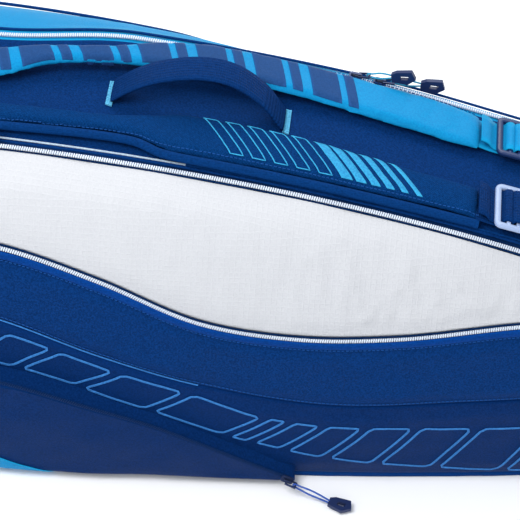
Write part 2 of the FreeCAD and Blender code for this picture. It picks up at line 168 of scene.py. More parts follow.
class Graph:
    """A material's node tree, with short calls for what the finishes share."""

    def __init__(self, name, viewport):
        self.material = bpy.data.materials.new(name)
        self.material.use_nodes = True
        self.material.diffuse_color = (*viewport, 1)
        self.tree = self.material.node_tree
        self.tree.nodes.clear()
        self.shader = self.add("ShaderNodeBsdfPrincipled")
        out = self.add("ShaderNodeOutputMaterial")
        self.join(self.shader.outputs[0], out.inputs[0])

    def add(self, kind, **settings):
        node = self.tree.nodes.new(kind)
        for key, value in settings.items():
            setattr(node, key, value)
        return node

    def join(self, a, b):
        self.tree.links.new(a, b)

    def put(self, socket, value):
        if isinstance(value, bpy.types.NodeSocket):
            self.join(value, socket)
        else:
            socket.default_value = value

    def set(self, **values):
        for key, value in values.items():
            self.put(self.shader.inputs[key.replace("_", " ")], value)

    def maths(self, operation, a, b=0.0, c=0.0):
        node = self.add("ShaderNodeMath", operation=operation)
        for socket, value in zip(node.inputs, (a, b, c)):
            self.put(socket, value)
        return node.outputs[0]

    def mix(self, factor, a, b):
        node = self.add("ShaderNodeMix", data_type="RGBA")
        for socket, value in ((node.inputs[0], factor), (node.inputs[6], a), (node.inputs[7], b)):
            self.put(socket, value if isinstance(value, (bpy.types.NodeSocket, float)) else (*value[:3], 1))
        return node.outputs[2]

    def uv(self):
        """The cloth's own coordinates, in metres, as x and y."""
        split = self.add("ShaderNodeSeparateXYZ")
        self.join(self.add("ShaderNodeTexCoord").outputs["UV"], split.inputs[0])
        return split.outputs[0], split.outputs[1]

    def waves(self, along, pitch, phase=0.0):
        """0 to 1 waves of that pitch, in metres."""
        turns = self.maths("MULTIPLY_ADD", along, 2 * pi / pitch, phase)
        return self.maths("MULTIPLY_ADD", self.maths("SINE", turns), 0.5, 0.5)

    def noise(self, scale, detail=3.0):
        node = self.add("ShaderNodeTexNoise")
        self.join(self.add("ShaderNodeTexCoord").outputs["Object"], node.inputs["Vector"])
        node.inputs["Scale"].default_value = scale
        node.inputs["Detail"].default_value = detail
        return node.outputs[0]

    def stretch(self, value, low, high, to_low=0.0, to_high=1.0):
        node = self.add("ShaderNodeMapRange")
        for socket, number in zip(node.inputs, (value, low, high, to_low, to_high)):
            self.put(socket, number)
        return node.outputs[0]

    def bump(self, height, distance):
        node = self.add("ShaderNodeBump")
        node.inputs["Strength"].default_value = 1.0
        node.inputs["Distance"].default_value = distance
        self.join(height, node.inputs["Height"])
        self.join(node.outputs[0], self.shader.inputs["Normal"])


def shade(colour, factor):
    """A colour made darker or lighter."""
    return tuple(min(1.0, c * factor) for c in colour)


def woven(graph, kind, pitch):
    """The height, 0 to 1, of a weave of that kind and pitch."""
    u, v = graph.uv()
    if kind == "twill":
        ribs = graph.waves(graph.maths("ADD", u, v), pitch * 1.4)
        cross = graph.waves(graph.maths("SUBTRACT", u, v), pitch * 0.7)
        return graph.maths("MULTIPLY_ADD", cross, 0.35, graph.maths("MULTIPLY", ribs, 0.65))
    if kind == "webbing":
        ribs = graph.waves(v, pitch)
        cross = graph.waves(u, pitch * 0.5)
        return graph.maths("MULTIPLY_ADD", cross, 0.4, graph.maths("MULTIPLY", ribs, 0.6))
    weft, warp = graph.waves(u, pitch), graph.waves(v, pitch)
    return graph.maths("MULTIPLY", weft, warp)


def fabric(name, colour, kind="plain", pitch=0.0009, rough=0.75, sheen=0.05, depth=0.00012,
           contrast=0.35, variation=0.16, coat=0.0, crease=0.0, gloss=0.06, fleck=0.22):
    """Cloth: its weave in colour and bump, patchy variation, worn edges and a soft sheen."""
    graph = Graph(name, colour)
    weave = woven(graph, kind, pitch)
    patches = graph.stretch(graph.noise(14.0), 0.3, 0.7)
    flecks = graph.stretch(graph.noise(620.0, 2.0), 0.36, 0.64)
    base = graph.mix(patches, shade(colour, 1 - variation), shade(colour, 1 + variation))
    base = graph.mix(graph.maths("MULTIPLY", weave, contrast), shade(colour, 0.55), base)
    base = graph.mix(graph.maths("MULTIPLY", flecks, fleck), base, shade(colour, 1.9))
    worn = graph.stretch(graph.add("ShaderNodeNewGeometry").outputs["Pointiness"], 0.53, 0.62, 0.0, 0.35)
    base = graph.mix(worn, base, shade(colour, 1.7))
    graph.set(Base_Color=base, Roughness=graph.stretch(patches, 0, 1, rough - 0.06, rough + 0.06))
    graph.set(Sheen_Weight=sheen, Sheen_Roughness=0.4, Sheen_Tint=(*shade(colour, 2.5), 1))
    tint = tuple(c / max(colour) for c in colour)
    graph.set(Specular_IOR_Level=gloss, Specular_Tint=(*tint, 1), Coat_Weight=coat, Coat_Roughness=0.3)
    height = graph.maths("MULTIPLY_ADD", weave, 1.0, graph.maths("MULTIPLY", flecks, 0.4))
    if crease:
        height = graph.maths("MULTIPLY_ADD", graph.noise(45.0, 5.0), crease, height)
    graph.bump(height, depth)
    return graph


def ripstop(name, colour):
    """Coated ripstop: a plain weave crossed by heavier threads every 5 mm."""
    graph = fabric(name, colour, "plain", 0.0008, 0.45, 0.05, 0.0001, 0.12, 0.03, coat=0.08, fleck=0.05)
    u, v = graph.uv()
    threads = graph.maths("MAXIMUM", *(
        graph.maths("POWER", graph.waves(axis, 0.0046), 9.0) for axis in (u, v)))
    shader = graph.shader
    below = shader.inputs["Base Color"].links[0].from_socket
    graph.set(Base_Color=graph.mix(graph.maths("MULTIPLY", threads, 0.16), below, shade(colour, 0.72)))
    height = graph.maths("MULTIPLY_ADD", threads, 1.0, graph.maths("MULTIPLY", graph.noise(30.0, 2.0), 0.5))
    graph.bump(height, 0.00018)
    return graph


def mesh_cloth(name, colour):
    """Spacer mesh: small round holes in rows, painted dark as the shade that falls inside them."""
    graph = fabric(name, colour, "plain", 0.0016, 0.8, 0.08, 0.0002, 0.3, 0.12)
    u, v = graph.uv()
    rows = graph.maths("MULTIPLY", graph.waves(u, 0.0024), graph.waves(v, 0.0024))
    offset = graph.maths("MULTIPLY", graph.waves(u, 0.0024, pi), graph.waves(v, 0.0024, pi))
    holes = graph.maths("POWER", graph.maths("MAXIMUM", rows, offset), 3.0)
    below = graph.shader.inputs["Base Color"].links[0].from_socket
    # Painted shade: the holes are darkened to stand in for the shade inside them.
    graph.set(Base_Color=graph.mix(graph.maths("MULTIPLY", holes, 0.55), below, shade(colour, 0.3)))
    graph.bump(graph.maths("SUBTRACT", 1.0, holes), 0.0003)
    return graph


def moulded(name, colour, rough=0.38, grain=900.0, metallic=0.0, wear=1.5):
    """Moulded plastic, rubber or painted metal: fine grain, patchy gloss and rubbed edges."""
    graph = Graph(name, colour)
    patches = graph.stretch(graph.noise(38.0, 4.0), 0.3, 0.7)
    base = graph.mix(patches, shade(colour, 0.88), shade(colour, 1.12))
    worn = graph.stretch(graph.add("ShaderNodeNewGeometry").outputs["Pointiness"], 0.52, 0.6, 0.0, 0.5)
    graph.set(Base_Color=graph.mix(worn, base, shade(colour, wear)), Metallic=metallic)
    graph.set(Roughness=graph.stretch(patches, 0, 1, rough - 0.07, rough + 0.09), Specular_IOR_Level=0.35)
    graph.bump(graph.noise(grain, 2.0), 0.00005)
    return graph


MATS = {}


def finish(name, make, colour, *values, **details):
    """Makes a material and keeps it under its name."""
    MATS[name] = make(name, colour, *values, **details).material


finish("navy_twill", fabric, (0.003, 0.031, 0.140), "twill", 0.0012, 0.7, fleck=0.34)
finish("spine_twill", fabric, (0.003, 0.030, 0.135), "twill", 0.0012, 0.72, fleck=0.30)
finish("navy_smooth", fabric, (0.003, 0.027, 0.128), "plain", 0.0008, 0.5, variation=0.1)
finish("navy_mesh", mesh_cloth, (0.003, 0.043, 0.175))
finish("white_ripstop", ripstop, (0.86, 0.875, 0.92))
finish("light_blue_fabric", fabric, (0.008, 0.345, 0.78), "plain", 0.0007, 0.5, 0.06, 0.00008, 0.15, 0.08,
       coat=0.04, crease=0.6, gloss=0.12, fleck=0.08)
finish("royal_blue_tape", fabric, (0.003, 0.036, 0.155), "webbing", 0.0014, 0.65)
finish("royal_bright", fabric, (0.003, 0.046, 0.235), "webbing", 0.0014, 0.6)
finish("zip_tape", fabric, (0.003, 0.018, 0.070), "webbing", 0.0012, 0.75)
finish("coil_white", moulded, (0.60, 0.66, 0.76), 0.4, wear=1.1)
finish("coil_dark", fabric, (0.004, 0.022, 0.090), "plain", 0.0008, 0.5)
finish("piping_light", fabric, (0.42, 0.52, 0.68), "webbing", 0.0010, 0.4, coat=0.3)
finish("board", moulded, (0.08, 0.09, 0.11), 0.55, 300.0)
finish("lining", fabric, (0.045, 0.055, 0.085), "plain", 0.0010, 0.7, crease=1.0)
finish("webbing", fabric, (0.003, 0.026, 0.115), "webbing", 0.0034, 0.68, 0.08, 0.0006, 0.85, fleck=0.3)
finish("buckle_front", moulded, (0.26, 0.34, 0.52), 0.3)
finish("buckle_rear", moulded, (0.007, 0.024, 0.092), 0.36)
finish("slider_metal", moulded, (0.012, 0.020, 0.055), 0.33, 700.0, 0.4, 3.0)
finish("cord_blue", fabric, (0.05, 0.36, 0.62), "twill", 0.0008, 0.6, 0.08, 0.0001, 0.5)
finish("cord_violet", fabric, (0.045, 0.12, 0.50), "twill", 0.0008, 0.6, 0.08, 0.0001, 0.5)
finish("pull_tab", moulded, (0.006, 0.013, 0.050), 0.42, 500.0, 0.0, 2.2)
finish("thread_light", fabric, (0.10, 0.40, 0.70), "twill", 0.0005, 0.6)
finish("thread_navy", fabric, (0.012, 0.07, 0.26), "twill", 0.0005, 0.6)
finish("print_cyan", fabric, (0.04, 0.36, 0.74), "plain", 0.0008, 0.45, 0.1, 0.00005, 0.1, 0.05)
finish("print_blue", fabric, (0.045, 0.21, 0.60), "plain", 0.0008, 0.5, 0.1, 0.00005, 0.1, 0.08)
finish("print_navy", fabric, (0.006, 0.035, 0.150), "plain", 0.0008, 0.45, 0.1, 0.00005, 0.1, 0.1)
finish("print_grey", fabric, (0.024, 0.088, 0.270), "plain", 0.0008, 0.45, 0.1, 0.00005, 0.1, 0.2, fleck=0.08)

cords = {}
for pull in PULLS:
    cords[pull] = make_cord(pull, MATS["cord_violet" if pull == "pocket" else "cord_blue"])


# ---- camera, lights and floor

def look(azimuth, elevation):
    """Unit vectors to the right, up and back of a view from that direction."""
    az, el = radians(azimuth), radians(elevation)
    back = Vector((sin(az) * cos(el), -cos(az) * cos(el), sin(el)))
    right = Vector((cos(az), sin(az), 0))
    return right, back.cross(right), back


def make_camera():
    """A long lens from the side and height that the photo was taken from."""
    right, up, back = look(3.5, 45.0)
    roll = radians(2.85)
    across = right * cos(roll) + up * sin(roll)
    upward = up * cos(roll) - right * sin(roll)
    target = Vector((0, 0, 0.160)) - upward * 0.0078
    data = bpy.data.cameras.new("camera")
    data.sensor_width = 36.0
    data.lens = 150.5
    data.clip_end = 20.0
    camera = link("camera", data)
    turn = Matrix((across, upward, back)).transposed().to_4x4()
    camera.matrix_world = Matrix.Translation(target + back * 2.0) @ turn
    bpy.context.scene.camera = camera


def add_light(name, azimuth, elevation, distance, size, power):
    """A round soft light that looks at the bag from that side and height."""
    data = bpy.data.lights.new(name, "AREA")
    data.shape = "DISK"
    data.size = size
    data.energy = power
    lamp = link(name, data)
    right, up, back = look(azimuth, elevation)
    turn = Matrix((right, up, back)).transposed().to_4x4()
    lamp.matrix_world = Matrix.Translation(Vector((0, 0, 0.15)) + back * distance) @ turn


def make_studio():
    """A pale even surrounding, three soft lights and a white floor that curves up behind."""
    world = bpy.data.worlds.new("studio")
    world.use_nodes = True
    background = world.node_tree.nodes["Background"]
    background.inputs[0].default_value = (0.93, 0.96, 1.0, 1)
    background.inputs[1].default_value = 0.79
    bpy.context.scene.world = world
    bpy.context.scene.view_settings.view_transform = "Standard"
    add_light("key", -40, 60, 2.2, 1.2, 34.0)
    add_light("front_fill", 20, 25, 2.6, 1.6, 9.0)
    add_light("back_light", 165, 50, 2.4, 1.4, 27.0)
    bm = bmesh.new()
    bmesh.ops.create_grid(bm, x_segments=24, y_segments=24, size=3.0)
    for vert in bm.verts:
        vert.co.z = -0.0006 + 0.9 * max(0.0, vert.co.y - 2.2) ** 2
    data = bpy.data.meshes.new("floor")
    bm.to_mesh(data)
    bm.free()
    floor = link("floor", data)
    graph = Graph("floor", (0.9, 0.9, 0.9))
    soft = graph.stretch(graph.noise(6.0), 0.3, 0.7)
    graph.set(Base_Color=graph.mix(soft, (0.97, 0.975, 0.98), (0.985, 0.99, 0.995)), Roughness=0.85)
    floor.data.materials.append(graph.material)


make_camera()
make_studio()


# ---- the bag's surface, from the same rules as the design

def rounding(x, start, reach):
    """0 along the bag's straight middle, rising to 1 at its rounded end."""
    u = min(1.0, max(0.0, (abs(x) - start) / reach))
    return 1 - sqrt(1 - u * u)


def size_at(x):
    """Front depth, rear depth, top and bottom of the bag at x."""
    front = FRONT_DEPTH - max(0.0, x + 240) ** 2 / 6300
    rear = REAR_DEPTH - 0.05 * (x + 240) - (x + 240) ** 2 / 9000
    top = HEIGHT - (x - CREST_X) ** 2 / (2 * SPINE_RADIUS)
    if x < 0:
        k = rounding(x, HALF_LENGTH - HEAD_ROUND, HEAD_ROUND)
        return front - 70 * k, rear - 75 * k, top - 90 * k, 25 * k
    k = rounding(x, HALF_LENGTH - HANDLE_ROUND, HANDLE_ROUND)
    return front - 45 * k, rear - 45 * k, top - 55 * k, 20 * k


def smooth(curve, x):
    """The height of a curve of (x, z) points at x, with an even slope through each point."""
    i = max(j for j in range(len(curve) - 1) if j == 0 or curve[j][0] <= x)
    (x0, z0), (x1, z1) = curve[i], curve[i + 1]

    def slope(j):
        a, b = curve[max(0, j - 1)], curve[min(len(curve) - 1, j + 1)]
        return (b[1] - a[1]) / (b[0] - a[0])

    h, t = x1 - x0, (x - x0) / (x1 - x0)
    m0, m1 = slope(i) * h, slope(i + 1) * h
    return ((2 * t**3 - 3 * t**2 + 1) * z0 + (t**3 - 2 * t**2 + t) * m0
            + (3 * t**2 - 2 * t**3) * z1 + (t**3 - t**2) * m1)


def ease(a, b, value):
    """0 at a and 1 at b, with a soft start and end."""
    t = min(1.0, max(0.0, (value - a) / (b - a)))
    return t * t * (3 - 2 * t)


def side_at(x, side):
    """One side of the bag at x: its depth, squareness, crown, top and bottom."""
    front, rear, top, bottom = size_at(x)
    if side < 0:
        return front, *FRONT_SHAPE, top, bottom
    return rear, *REAR_SHAPE, top, bottom


def wall_y(x, z, side):
    """How far out the bag's side stands at x and height z."""
    depth, square, crown, top, bottom = side_at(x, side)
    if z < SHOULDER_Z:
        t = max(0.0, (z - bottom) / (SHOULDER_Z - bottom))
        return side * (depth - TURN_UNDER * (1 - t) ** 2)
    s = min(1.0, (z - SHOULDER_Z) / (top - SHOULDER_Z)) ** (crown / 2)
    return side * depth * max(0.0, 1 - s * s) ** (1 / square)


def roof_z(x, y):
    """How high the bag's top is at x and y."""
    depth, square, crown, top, _ = side_at(x, y)
    c = min(1.0, abs(y) / depth) ** (square / 2)
    return SHOULDER_Z + (top - SHOULDER_Z) * sqrt(1 - c * c) ** (2 / crown)


def wall_at(x, z):
    """A point on the bag's front at x and z, and the way out there."""
    here = Vector((x, wall_y(x, z, -1), z))
    along = Vector((x + 1, wall_y(x + 1, z, -1), z)) - here
    up = Vector((x, wall_y(x, z + 1, -1), z + 1)) - here
    return here, along.cross(up).normalized()


def roof_at(x, y, out=0.0):
    """A point on the bag's top at x and y, moved outward, and the way out there."""
    here = Vector((x, y, roof_z(x, y)))
    along = Vector((x + 1, y, roof_z(x + 1, y))) - here
    across = Vector((x, y + 1, roof_z(x, y + 1))) - here
    normal = along.cross(across).normalized()
    return here + normal * out, normal


def lean(p):
    """Where a point by the rear zipper goes: at the head end the zipper runs in towards the middle."""
    shift = HEAD_LEAN * ease(-120, -250, p.x) + TAIL_LEAN * ease(100, 230, p.x)
    shift *= ease(34, ZIP_Y, p.y) * ease(150, 96, p.y) * ease(110, 200, p.z)
    if shift == 0:
        return p
    rise = min(0.4 * shift, roof_z(p.x, p.y - shift) - roof_z(p.x, p.y))
    return Vector((p.x, p.y - shift, p.z + rise * ease(150, 220, p.z)))


def pod_corner(x):
    """The middle (y, z) and the radius of the rear pod's top corner."""
    _, rear, top, _ = size_at(x)
    radius = rear * (0.60 + 0.10 * ease(-268, 250, x))
    return rear - radius, top - radius, radius


def round_pod(p):
    """The rear pod's cloth is rounder at its top corner than the design's section."""
    y0, z0, radius = pod_corner(p.x)
    y, z = p.y - y0, p.z - z0
    reach = sqrt(y * y + z * z)
    if y <= 0 or z <= 0 or reach <= radius:
        return p
    k = 1 + (radius / reach - 1) * ease(COVER_Y, COVER_Y + 20, p.y)
    return Vector((p.x, y0 + y * k, z0 + z * k))


def stations(step):
    """Places along the bag, closer together round its ends."""
    turns = 14
    head = [-(HALF_LENGTH - HEAD_ROUND) - HEAD_ROUND * sin(pi / 2 * i / turns) for i in range(turns, 0, -1)]
    start, end = -(HALF_LENGTH - HEAD_ROUND), HALF_LENGTH - HANDLE_ROUND
    count = round((end - start) / step)
    middle = [start + (end - start) * i / count for i in range(count + 1)]
    handle = [end + HANDLE_ROUND * sin(pi / 2 * i / turns) for i in range(1, turns + 1)]
    return head + middle + handle


def half_section(x, side):
    """Points (y, z) up one side of the bag and over to the middle of its top."""
    depth, square, crown, top, bottom = side_at(x, side)
    points = []
    for i in range(18):
        t = i / 18
        points.append((side * (depth - TURN_UNDER * (1 - t) ** 2), bottom + (SHOULDER_Z - bottom) * t))
    turn = acos(0.72 ** (square / 2))
    for i in range(22):
        a = turn * i / 22
        z = SHOULDER_Z + (top - SHOULDER_Z) * sin(a) ** (2 / crown)
        points.append((side * depth * cos(a) ** (2 / square), z))
    for i in range(21):
        share = 0.72 * (1 - i / 20)
        c = share ** (square / 2)
        z = SHOULDER_Z + (top - SHOULDER_Z) * sqrt(1 - c * c) ** (2 / crown)
        points.append((side * depth * share, z))
    return points


def closed_section(x):
    """The whole section at x as one loop: up the front, over the top, down the rear, back below."""
    up, down = half_section(x, -1), half_section(x, 1)[::-1]
    (y0, z0), (y1, z1) = down[-1], up[0]
    under = [(y0 + (y1 - y0) * i / 24, z0 + (z1 - z0) * i / 24) for i in range(1, 24)]
    return up + down[1:] + under


def skin(bm, rows, closed=False, flip=False):
    """Faces between neighbouring rows of vertices; closed joins each row's end to its start."""
    made = []
    for a, b in zip(rows, rows[1:]):
        for k in range(len(a) if closed else len(a) - 1):
            j = (k + 1) % len(a)
            corners = (a[k], b[k], b[j], a[j]) if flip else (a[k], a[j], b[j], b[k])
            made.append(bm.faces.new(corners))
    return made


def sleeve(bm, rings):
    """A closed tube through rings of vertices, with both its ends."""
    skin(bm, rings, closed=True)
    bm.faces.new(rings[0][::-1])
    bm.faces.new(rings[-1])


def whole_bag():
    """The bag's closed outer surface as a bmesh, in mm."""
    bm = bmesh.new()
    rows = [[bm.verts.new((x, y, z)) for y, z in closed_section(x)] for x in stations(7.0)]
    skin(bm, rows, closed=True)
    for row, flip in ((rows[0], False), (rows[-1], True)):
        middle = sum((v.co for v in row), Vector()) / len(row)
        ring = row
        for step in range(1, 9):
            share = 1 - step / 9
            inner = [bm.verts.new(middle + (v.co - middle) * share) for v in row]
            for i in range(len(row)):
                j = (i + 1) % len(row)
                quad = (ring[i], inner[i], inner[j], ring[j])
                bm.faces.new(quad[::-1] if flip else quad)
            ring = inner
        bm.faces.new(ring if flip else ring[::-1])
    bmesh.ops.recalc_face_normals(bm, faces=bm.faces)
    return bm


WHOLE = whole_bag()


def cut(bm, point, direction):
    """Keeps the part of the mesh on that side of a plane."""
    bmesh.ops.bisect_plane(bm, geom=bm.verts[:] + bm.edges[:] + bm.faces[:], dist=0.001,
                           plane_co=point, plane_no=direction, clear_inner=True)


def box_uv(mesh):
    """Cloth coordinates in metres, straight on to whichever way each face looks."""
    layer = mesh.uv_layers.new(name="cloth")
    for face in mesh.polygons:
        n = face.normal
        side = max(range(3), key=lambda i: abs(n[i]))
        for loop in face.loop_indices:
            co = mesh.vertices[mesh.loops[loop].vertex_index].co
            layer.data[loop].uv = (co[1 if side == 0 else 0], co[1 if side == 2 else 2])


def place(piece, body, stands_for=None):
    """Rides a piece on its body, and hides the CAD node that it stands for."""
    if stands_for:
        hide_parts(stands_for)
    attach(piece, body)
    return piece


def finish_mesh(name, bm, material, smooth_angle=40.0):
    """Turns a bmesh in mm into an object in metres with cloth coordinates."""
    bmesh.ops.transform(bm, matrix=Matrix.Scale(MM, 4), verts=bm.verts)
    data = bpy.data.meshes.new(name)
    bm.to_mesh(data)
    bm.free()
    box_uv(data)
    data.shade_smooth()
    data.set_sharp_from_angle(angle=radians(smooth_angle))
    made = link(name, data)
    for each in material if isinstance(material, (list, tuple)) else [material]:
        data.materials.append(MATS[each])
    return made


def thicken(obj, thickness, inside=None):
    """Gives a cloth surface its thickness inward, with its lining if it has one."""
    solid = obj.modifiers.new("thickness", "SOLIDIFY")
    solid.thickness = thickness * MM
    solid.offset = -1.0
    solid.use_even_offset = False
    if inside:
        obj.data.materials.append(MATS[inside])
        solid.material_offset = 1
        solid.material_offset_rim = 0
    return obj


def lift(bm, height):
    """Moves every vertex outward along its normal by height(point)."""
    bm.normal_update()
    moves = [(v, v.normal.copy() * height(v.co)) for v in bm.verts]
    for vert, move in moves:
        vert.co += move


def reshape(bm, move):
    """Moves every vertex to move(its place)."""
    for vert in bm.verts:
        vert.co = move(vert.co)


def shell(name, planes, material, height=None, thickness=CLOTH, inside="lining", first=None):
    """A panel cut from the bag's surface by planes, raised and thickened."""
    bm = WHOLE.copy()
    for point, direction in planes:
        cut(bm, point, direction)
    if first:
        reshape(bm, first)
    lift(bm, height or (lambda p: 0.0))
    reshape(bm, lean)
    return thicken(finish_mesh(name, bm, material), thickness, inside)


def between(y0, y1):
    """The planes that keep what lies between two places across the bag."""
    return [((0, y0, 0), (0, 1, 0)), ((0, y1, 0), (0, -1, 0))]


def above(z):
    """The plane that keeps what lies over a height."""
    return ((0, 0, z), (0, 0, 1))


def ripple(p, size, seed):
    """Smooth noise, about -1 to 1, with bumps of that size in mm."""
    return noise.noise(Vector(p) / size + Vector((seed, 0.37 * seed, 1.7 * seed)))


def ridge(p, size, seed):
    """Sharp folds: 0 in the open, 1 on a crease line."""
    return max(0.0, 1 - 5.0 * abs(ripple(p, size, seed))) ** 2


# ---- base, divider, spine and ends

def make_base():
    """The base cloth, turned up a little round its edge."""
    planes = [((0, 0, 7.2), (0, 0, -1)), ((-352, 0, 0), (1, 0, 0)), ((358, 0, 0), (-1, 0, 0))]
    tray = shell("base_cloth", planes, "navy_twill", lambda p: 0.25 * ripple(p, 30, 3) - 0.3, 2.5)
    place(tray, "core", "base_panel")


def make_divider():
    """The padded wall between the two main compartments, with a slight sway."""
    bm = bmesh.new()
    rows = []
    for i in range(71):
        x = -350 + 700 * i / 70
        top = size_at(x)[2] - 9
        row = []
        for k in range(31):
            z = 9.5 + (top - 9.5) * k / 30
            sway = 2.6 * ripple((x, 0, z), 95, 9) * sin(pi * k / 30)
            row.append(bm.verts.new((x, 2.6 + sway, z)))
        rows.append(row)
    skin(bm, rows)
    wall = thicken(finish_mesh("divider_pad", bm, "lining"), 5.2)
    place(wall, "core", "centre_divider")


def spine_height(p):
    """The spine sags a little between its zippers and ripples by the handle."""
    sag = -1.4 * (1 - (p.y / SPINE_HALF) ** 2) * ease(300, 240, abs(p.x))
    return sag + 0.9 * ripple(p, 70, 11) + 0.35 * ripple(p, 22, 12)


def end_height(p):
    """The bag's two ends are puffed in their middles."""
    puff = ease(0, 60, SPINE_HALF - abs(p.y)) * ease(0, 40, min(p.z - 20, 250 - p.z))
    return 5.0 * puff + 1.2 * ripple(p, 50, 14)


def make_spine():
    """The cloth along the top of the bag and down its two ends."""
    middle = between(-SPINE_HALF, SPINE_HALF)
    spine = shell("spine_cloth", middle + [((-330, 0, 0), (1, 0, 0)), ((330, 0, 0), (-1, 0, 0)), above(150)],
                  "spine_twill", spine_height)
    place(spine, "core", "spine_panel")
    for name, x, way in (("head_end", -330.6, -1), ("handle_end", 330.6, 1)):
        end = shell(name + "_cloth", middle + [((x, 0, 0), (way, 0, 0)), above(3)], "navy_twill", end_height)
        place(end, "core", name + "_panel")


# ---- the main zippers

def end_x(y, z, way):
    """How far along the bag its end is at that y and height."""
    x = way * HALF_LENGTH
    while abs(wall_y(x, z, 1 if y > 0 else -1)) < abs(y):
        x -= way * 0.5
    return x


def ring_path(y, out=1.6, low=40.0, step=3.0):
    """Down one end, over the top and down the other end of the bag, at one y, as points and ways out."""
    ends = []
    for way in (-1, 1):
        x = end_x(y, SHOULDER_Z, way)
        roof = roof_z(x * 0.9999, y)
        count = max(2, round((roof - low) / step))
        levels = [low + (roof - low) * i / count for i in range(count)]
        ends.append([((end_x(y, min(z, SHOULDER_Z), way), y, z), (way, 0, 0)) for z in levels])
    first, last = ends[0][-1][0][0], ends[1][-1][0][0]
    top = []
    for x in stations(step):
        if first <= x <= last:
            point, normal = roof_at(max(-384.9, min(384.9, x)), y)
            top.append((tuple(point), tuple(normal)))
    path = ends[0] + top + ends[1][::-1]
    return [(lean(Vector(p) + Vector(n).normalized() * out), Vector(n).normalized()) for p, n in path]


def spaced(path, step):
    """Even places along a path of (point, normal), with the way it runs there."""
    made, left = [], 0.0
    for (a, na), (b, nb) in zip(path, path[1:]):
        run = (b - a).length
        if run < 1e-6:
            continue
        while left <= run:
            t = left / run
            made.append((a.lerp(b, t), na.lerp(nb, t).normalized(), (b - a).normalized()))
            left += step
        left -= run
    return made


def add_prism(bm, centre, along, out, size):
    """A little block with bevelled long sides: size is length, width and height."""
    side = out.cross(along).normalized()
    up = along.cross(side).normalized()
    length, width, height = (s / 2 for s in size)
    ring = [(-1, -1), (1, -1), (1, 0.2), (0.55, 1), (-0.55, 1), (-1, 0.2)]
    sleeve(bm, [[bm.verts.new(centre + along * end * length + side * s * width + up * h * height)
                 for s, h in ring] for end in (-1, 1)])


def coil_mesh(name, path, material, pitch=2.0, width=4.4, height=1.4):
    """A zipper coil: two rows of teeth that meet in the middle, with a gap after each tooth."""
    bm = bmesh.new()
    for centre, out, along in spaced(path, pitch):
        side = out.cross(along).normalized()
        for way in (-1, 1):
            shift = side * way * width * 0.26 + along * way * pitch * 0.09
            add_prism(bm, centre + shift, side, out, (width * 0.5, pitch * 0.74, height))
    return finish_mesh(name, bm, material, 30)


def runs(points):
    """The way a line of points runs at each of them."""
    last = len(points) - 1
    return [(points[min(last, i + 1)] - points[max(0, i - 1)]).normalized() for i in range(last + 1)]


def framed(path):
    """Each (point, way out) of a path, with the ways to its side and up from it."""
    for (centre, out), along in zip(path, runs([at[0] for at in path])):
        side = out.cross(along).normalized()
        yield centre, out, side, along.cross(side).normalized()


def tube(name, path, radius, material, sides=8, flat=1.0):
    """A closed tube along a path of (point, way out)."""
    bm = bmesh.new()
    turns = [2 * pi * k / sides for k in range(sides)]
    sleeve(bm, [[bm.verts.new(centre + side * radius * cos(a) + up * radius * flat * sin(a)) for a in turns]
                for centre, _, side, up in framed(path)])
    bmesh.ops.recalc_face_normals(bm, faces=bm.faces)
    return finish_mesh(name, bm, material)


def ribbons(name, paths, width, material, thick=0.6, crown=0.3):
    """Flat tapes along paths of (point, way out), with a slight crown across them, as one piece."""
    bm = bmesh.new()
    across = (-1.0, -0.6, 0.0, 0.6, 1.0)
    for path in paths:
        skin(bm, [[bm.verts.new(centre + side * s * width / 2 + out * crown * (1 - s * s)) for s in across]
                  for centre, out, side, _ in framed(path)])
    return thicken(finish_mesh(name, bm, material), thick)


def ribbon(name, path, width, material, thick=0.6, crown=0.3):
    """One flat tape."""
    return ribbons(name, [path], width, material, thick, crown)


def stitch_row(name, path, material, length=2.6, gap=1.1, width=0.7, sideways=0.0):
    """A row of stitches along a path, each a small bevelled bar standing proud of the cloth."""
    bm = bmesh.new()
    for centre, out, along in spaced(path, length + gap):
        side = out.cross(along).normalized()
        add_prism(bm, centre + side * sideways, along, out, (length, width, 0.7))
    return finish_mesh(name, bm, material, 30)


def make_main_zippers():
    """The two long zippers: a tape on each side of each, and the coil between them."""
    for name, side, tape, edge, wide in (("front", -1, "zip_tape", COVER_Y - 3.0, 3.4),
                                         ("rear", 1, "light_blue_fabric", COVER_Y - 0.4, 4.2)):
        for part, y0, y1, low, body in (("spine", SPINE_HALF + 0.5, ZIP_Y - 0.2, 10, "core"),
                                        ("cover", ZIP_Y + 0.2, edge, 12, name + "_cover")):
            planes = between(*sorted((side * y0, side * y1))) + [above(low)]
            piece = shell(f"{name}_tape_{part}_side", planes, tape, lambda p: -0.3, 1.2, None)
            place(piece, body, f"{name}_zip_{part}_tape")
        teeth = coil_mesh(name + "_coil", ring_path(side * ZIP_Y), "coil_white", width=wide)
        place(teeth, "core", name + "_zip_coil")


# ---- the front cover, its wave flap and the accessory pocket

def level_of(x, z):
    """A place up the front of the bag: 0 at the base, 1 at the shoulder, 2 at the middle of the top."""
    if z < SHOULDER_Z:
        return z / SHOULDER_Z
    top = size_at(x)[2]
    share = min(1.0, (z - SHOULDER_Z) / (top - SHOULDER_Z))
    return 1 + asin(share ** (FRONT_SHAPE[1] / 2)) / (pi / 2)


def level_at_y(x, y):
    """The level on the front's upper half that stands that far out."""
    depth = size_at(x)[0]
    return 1 + acos(min(1.0, (y / depth) ** (FRONT_SHAPE[0] / 2))) / (pi / 2)


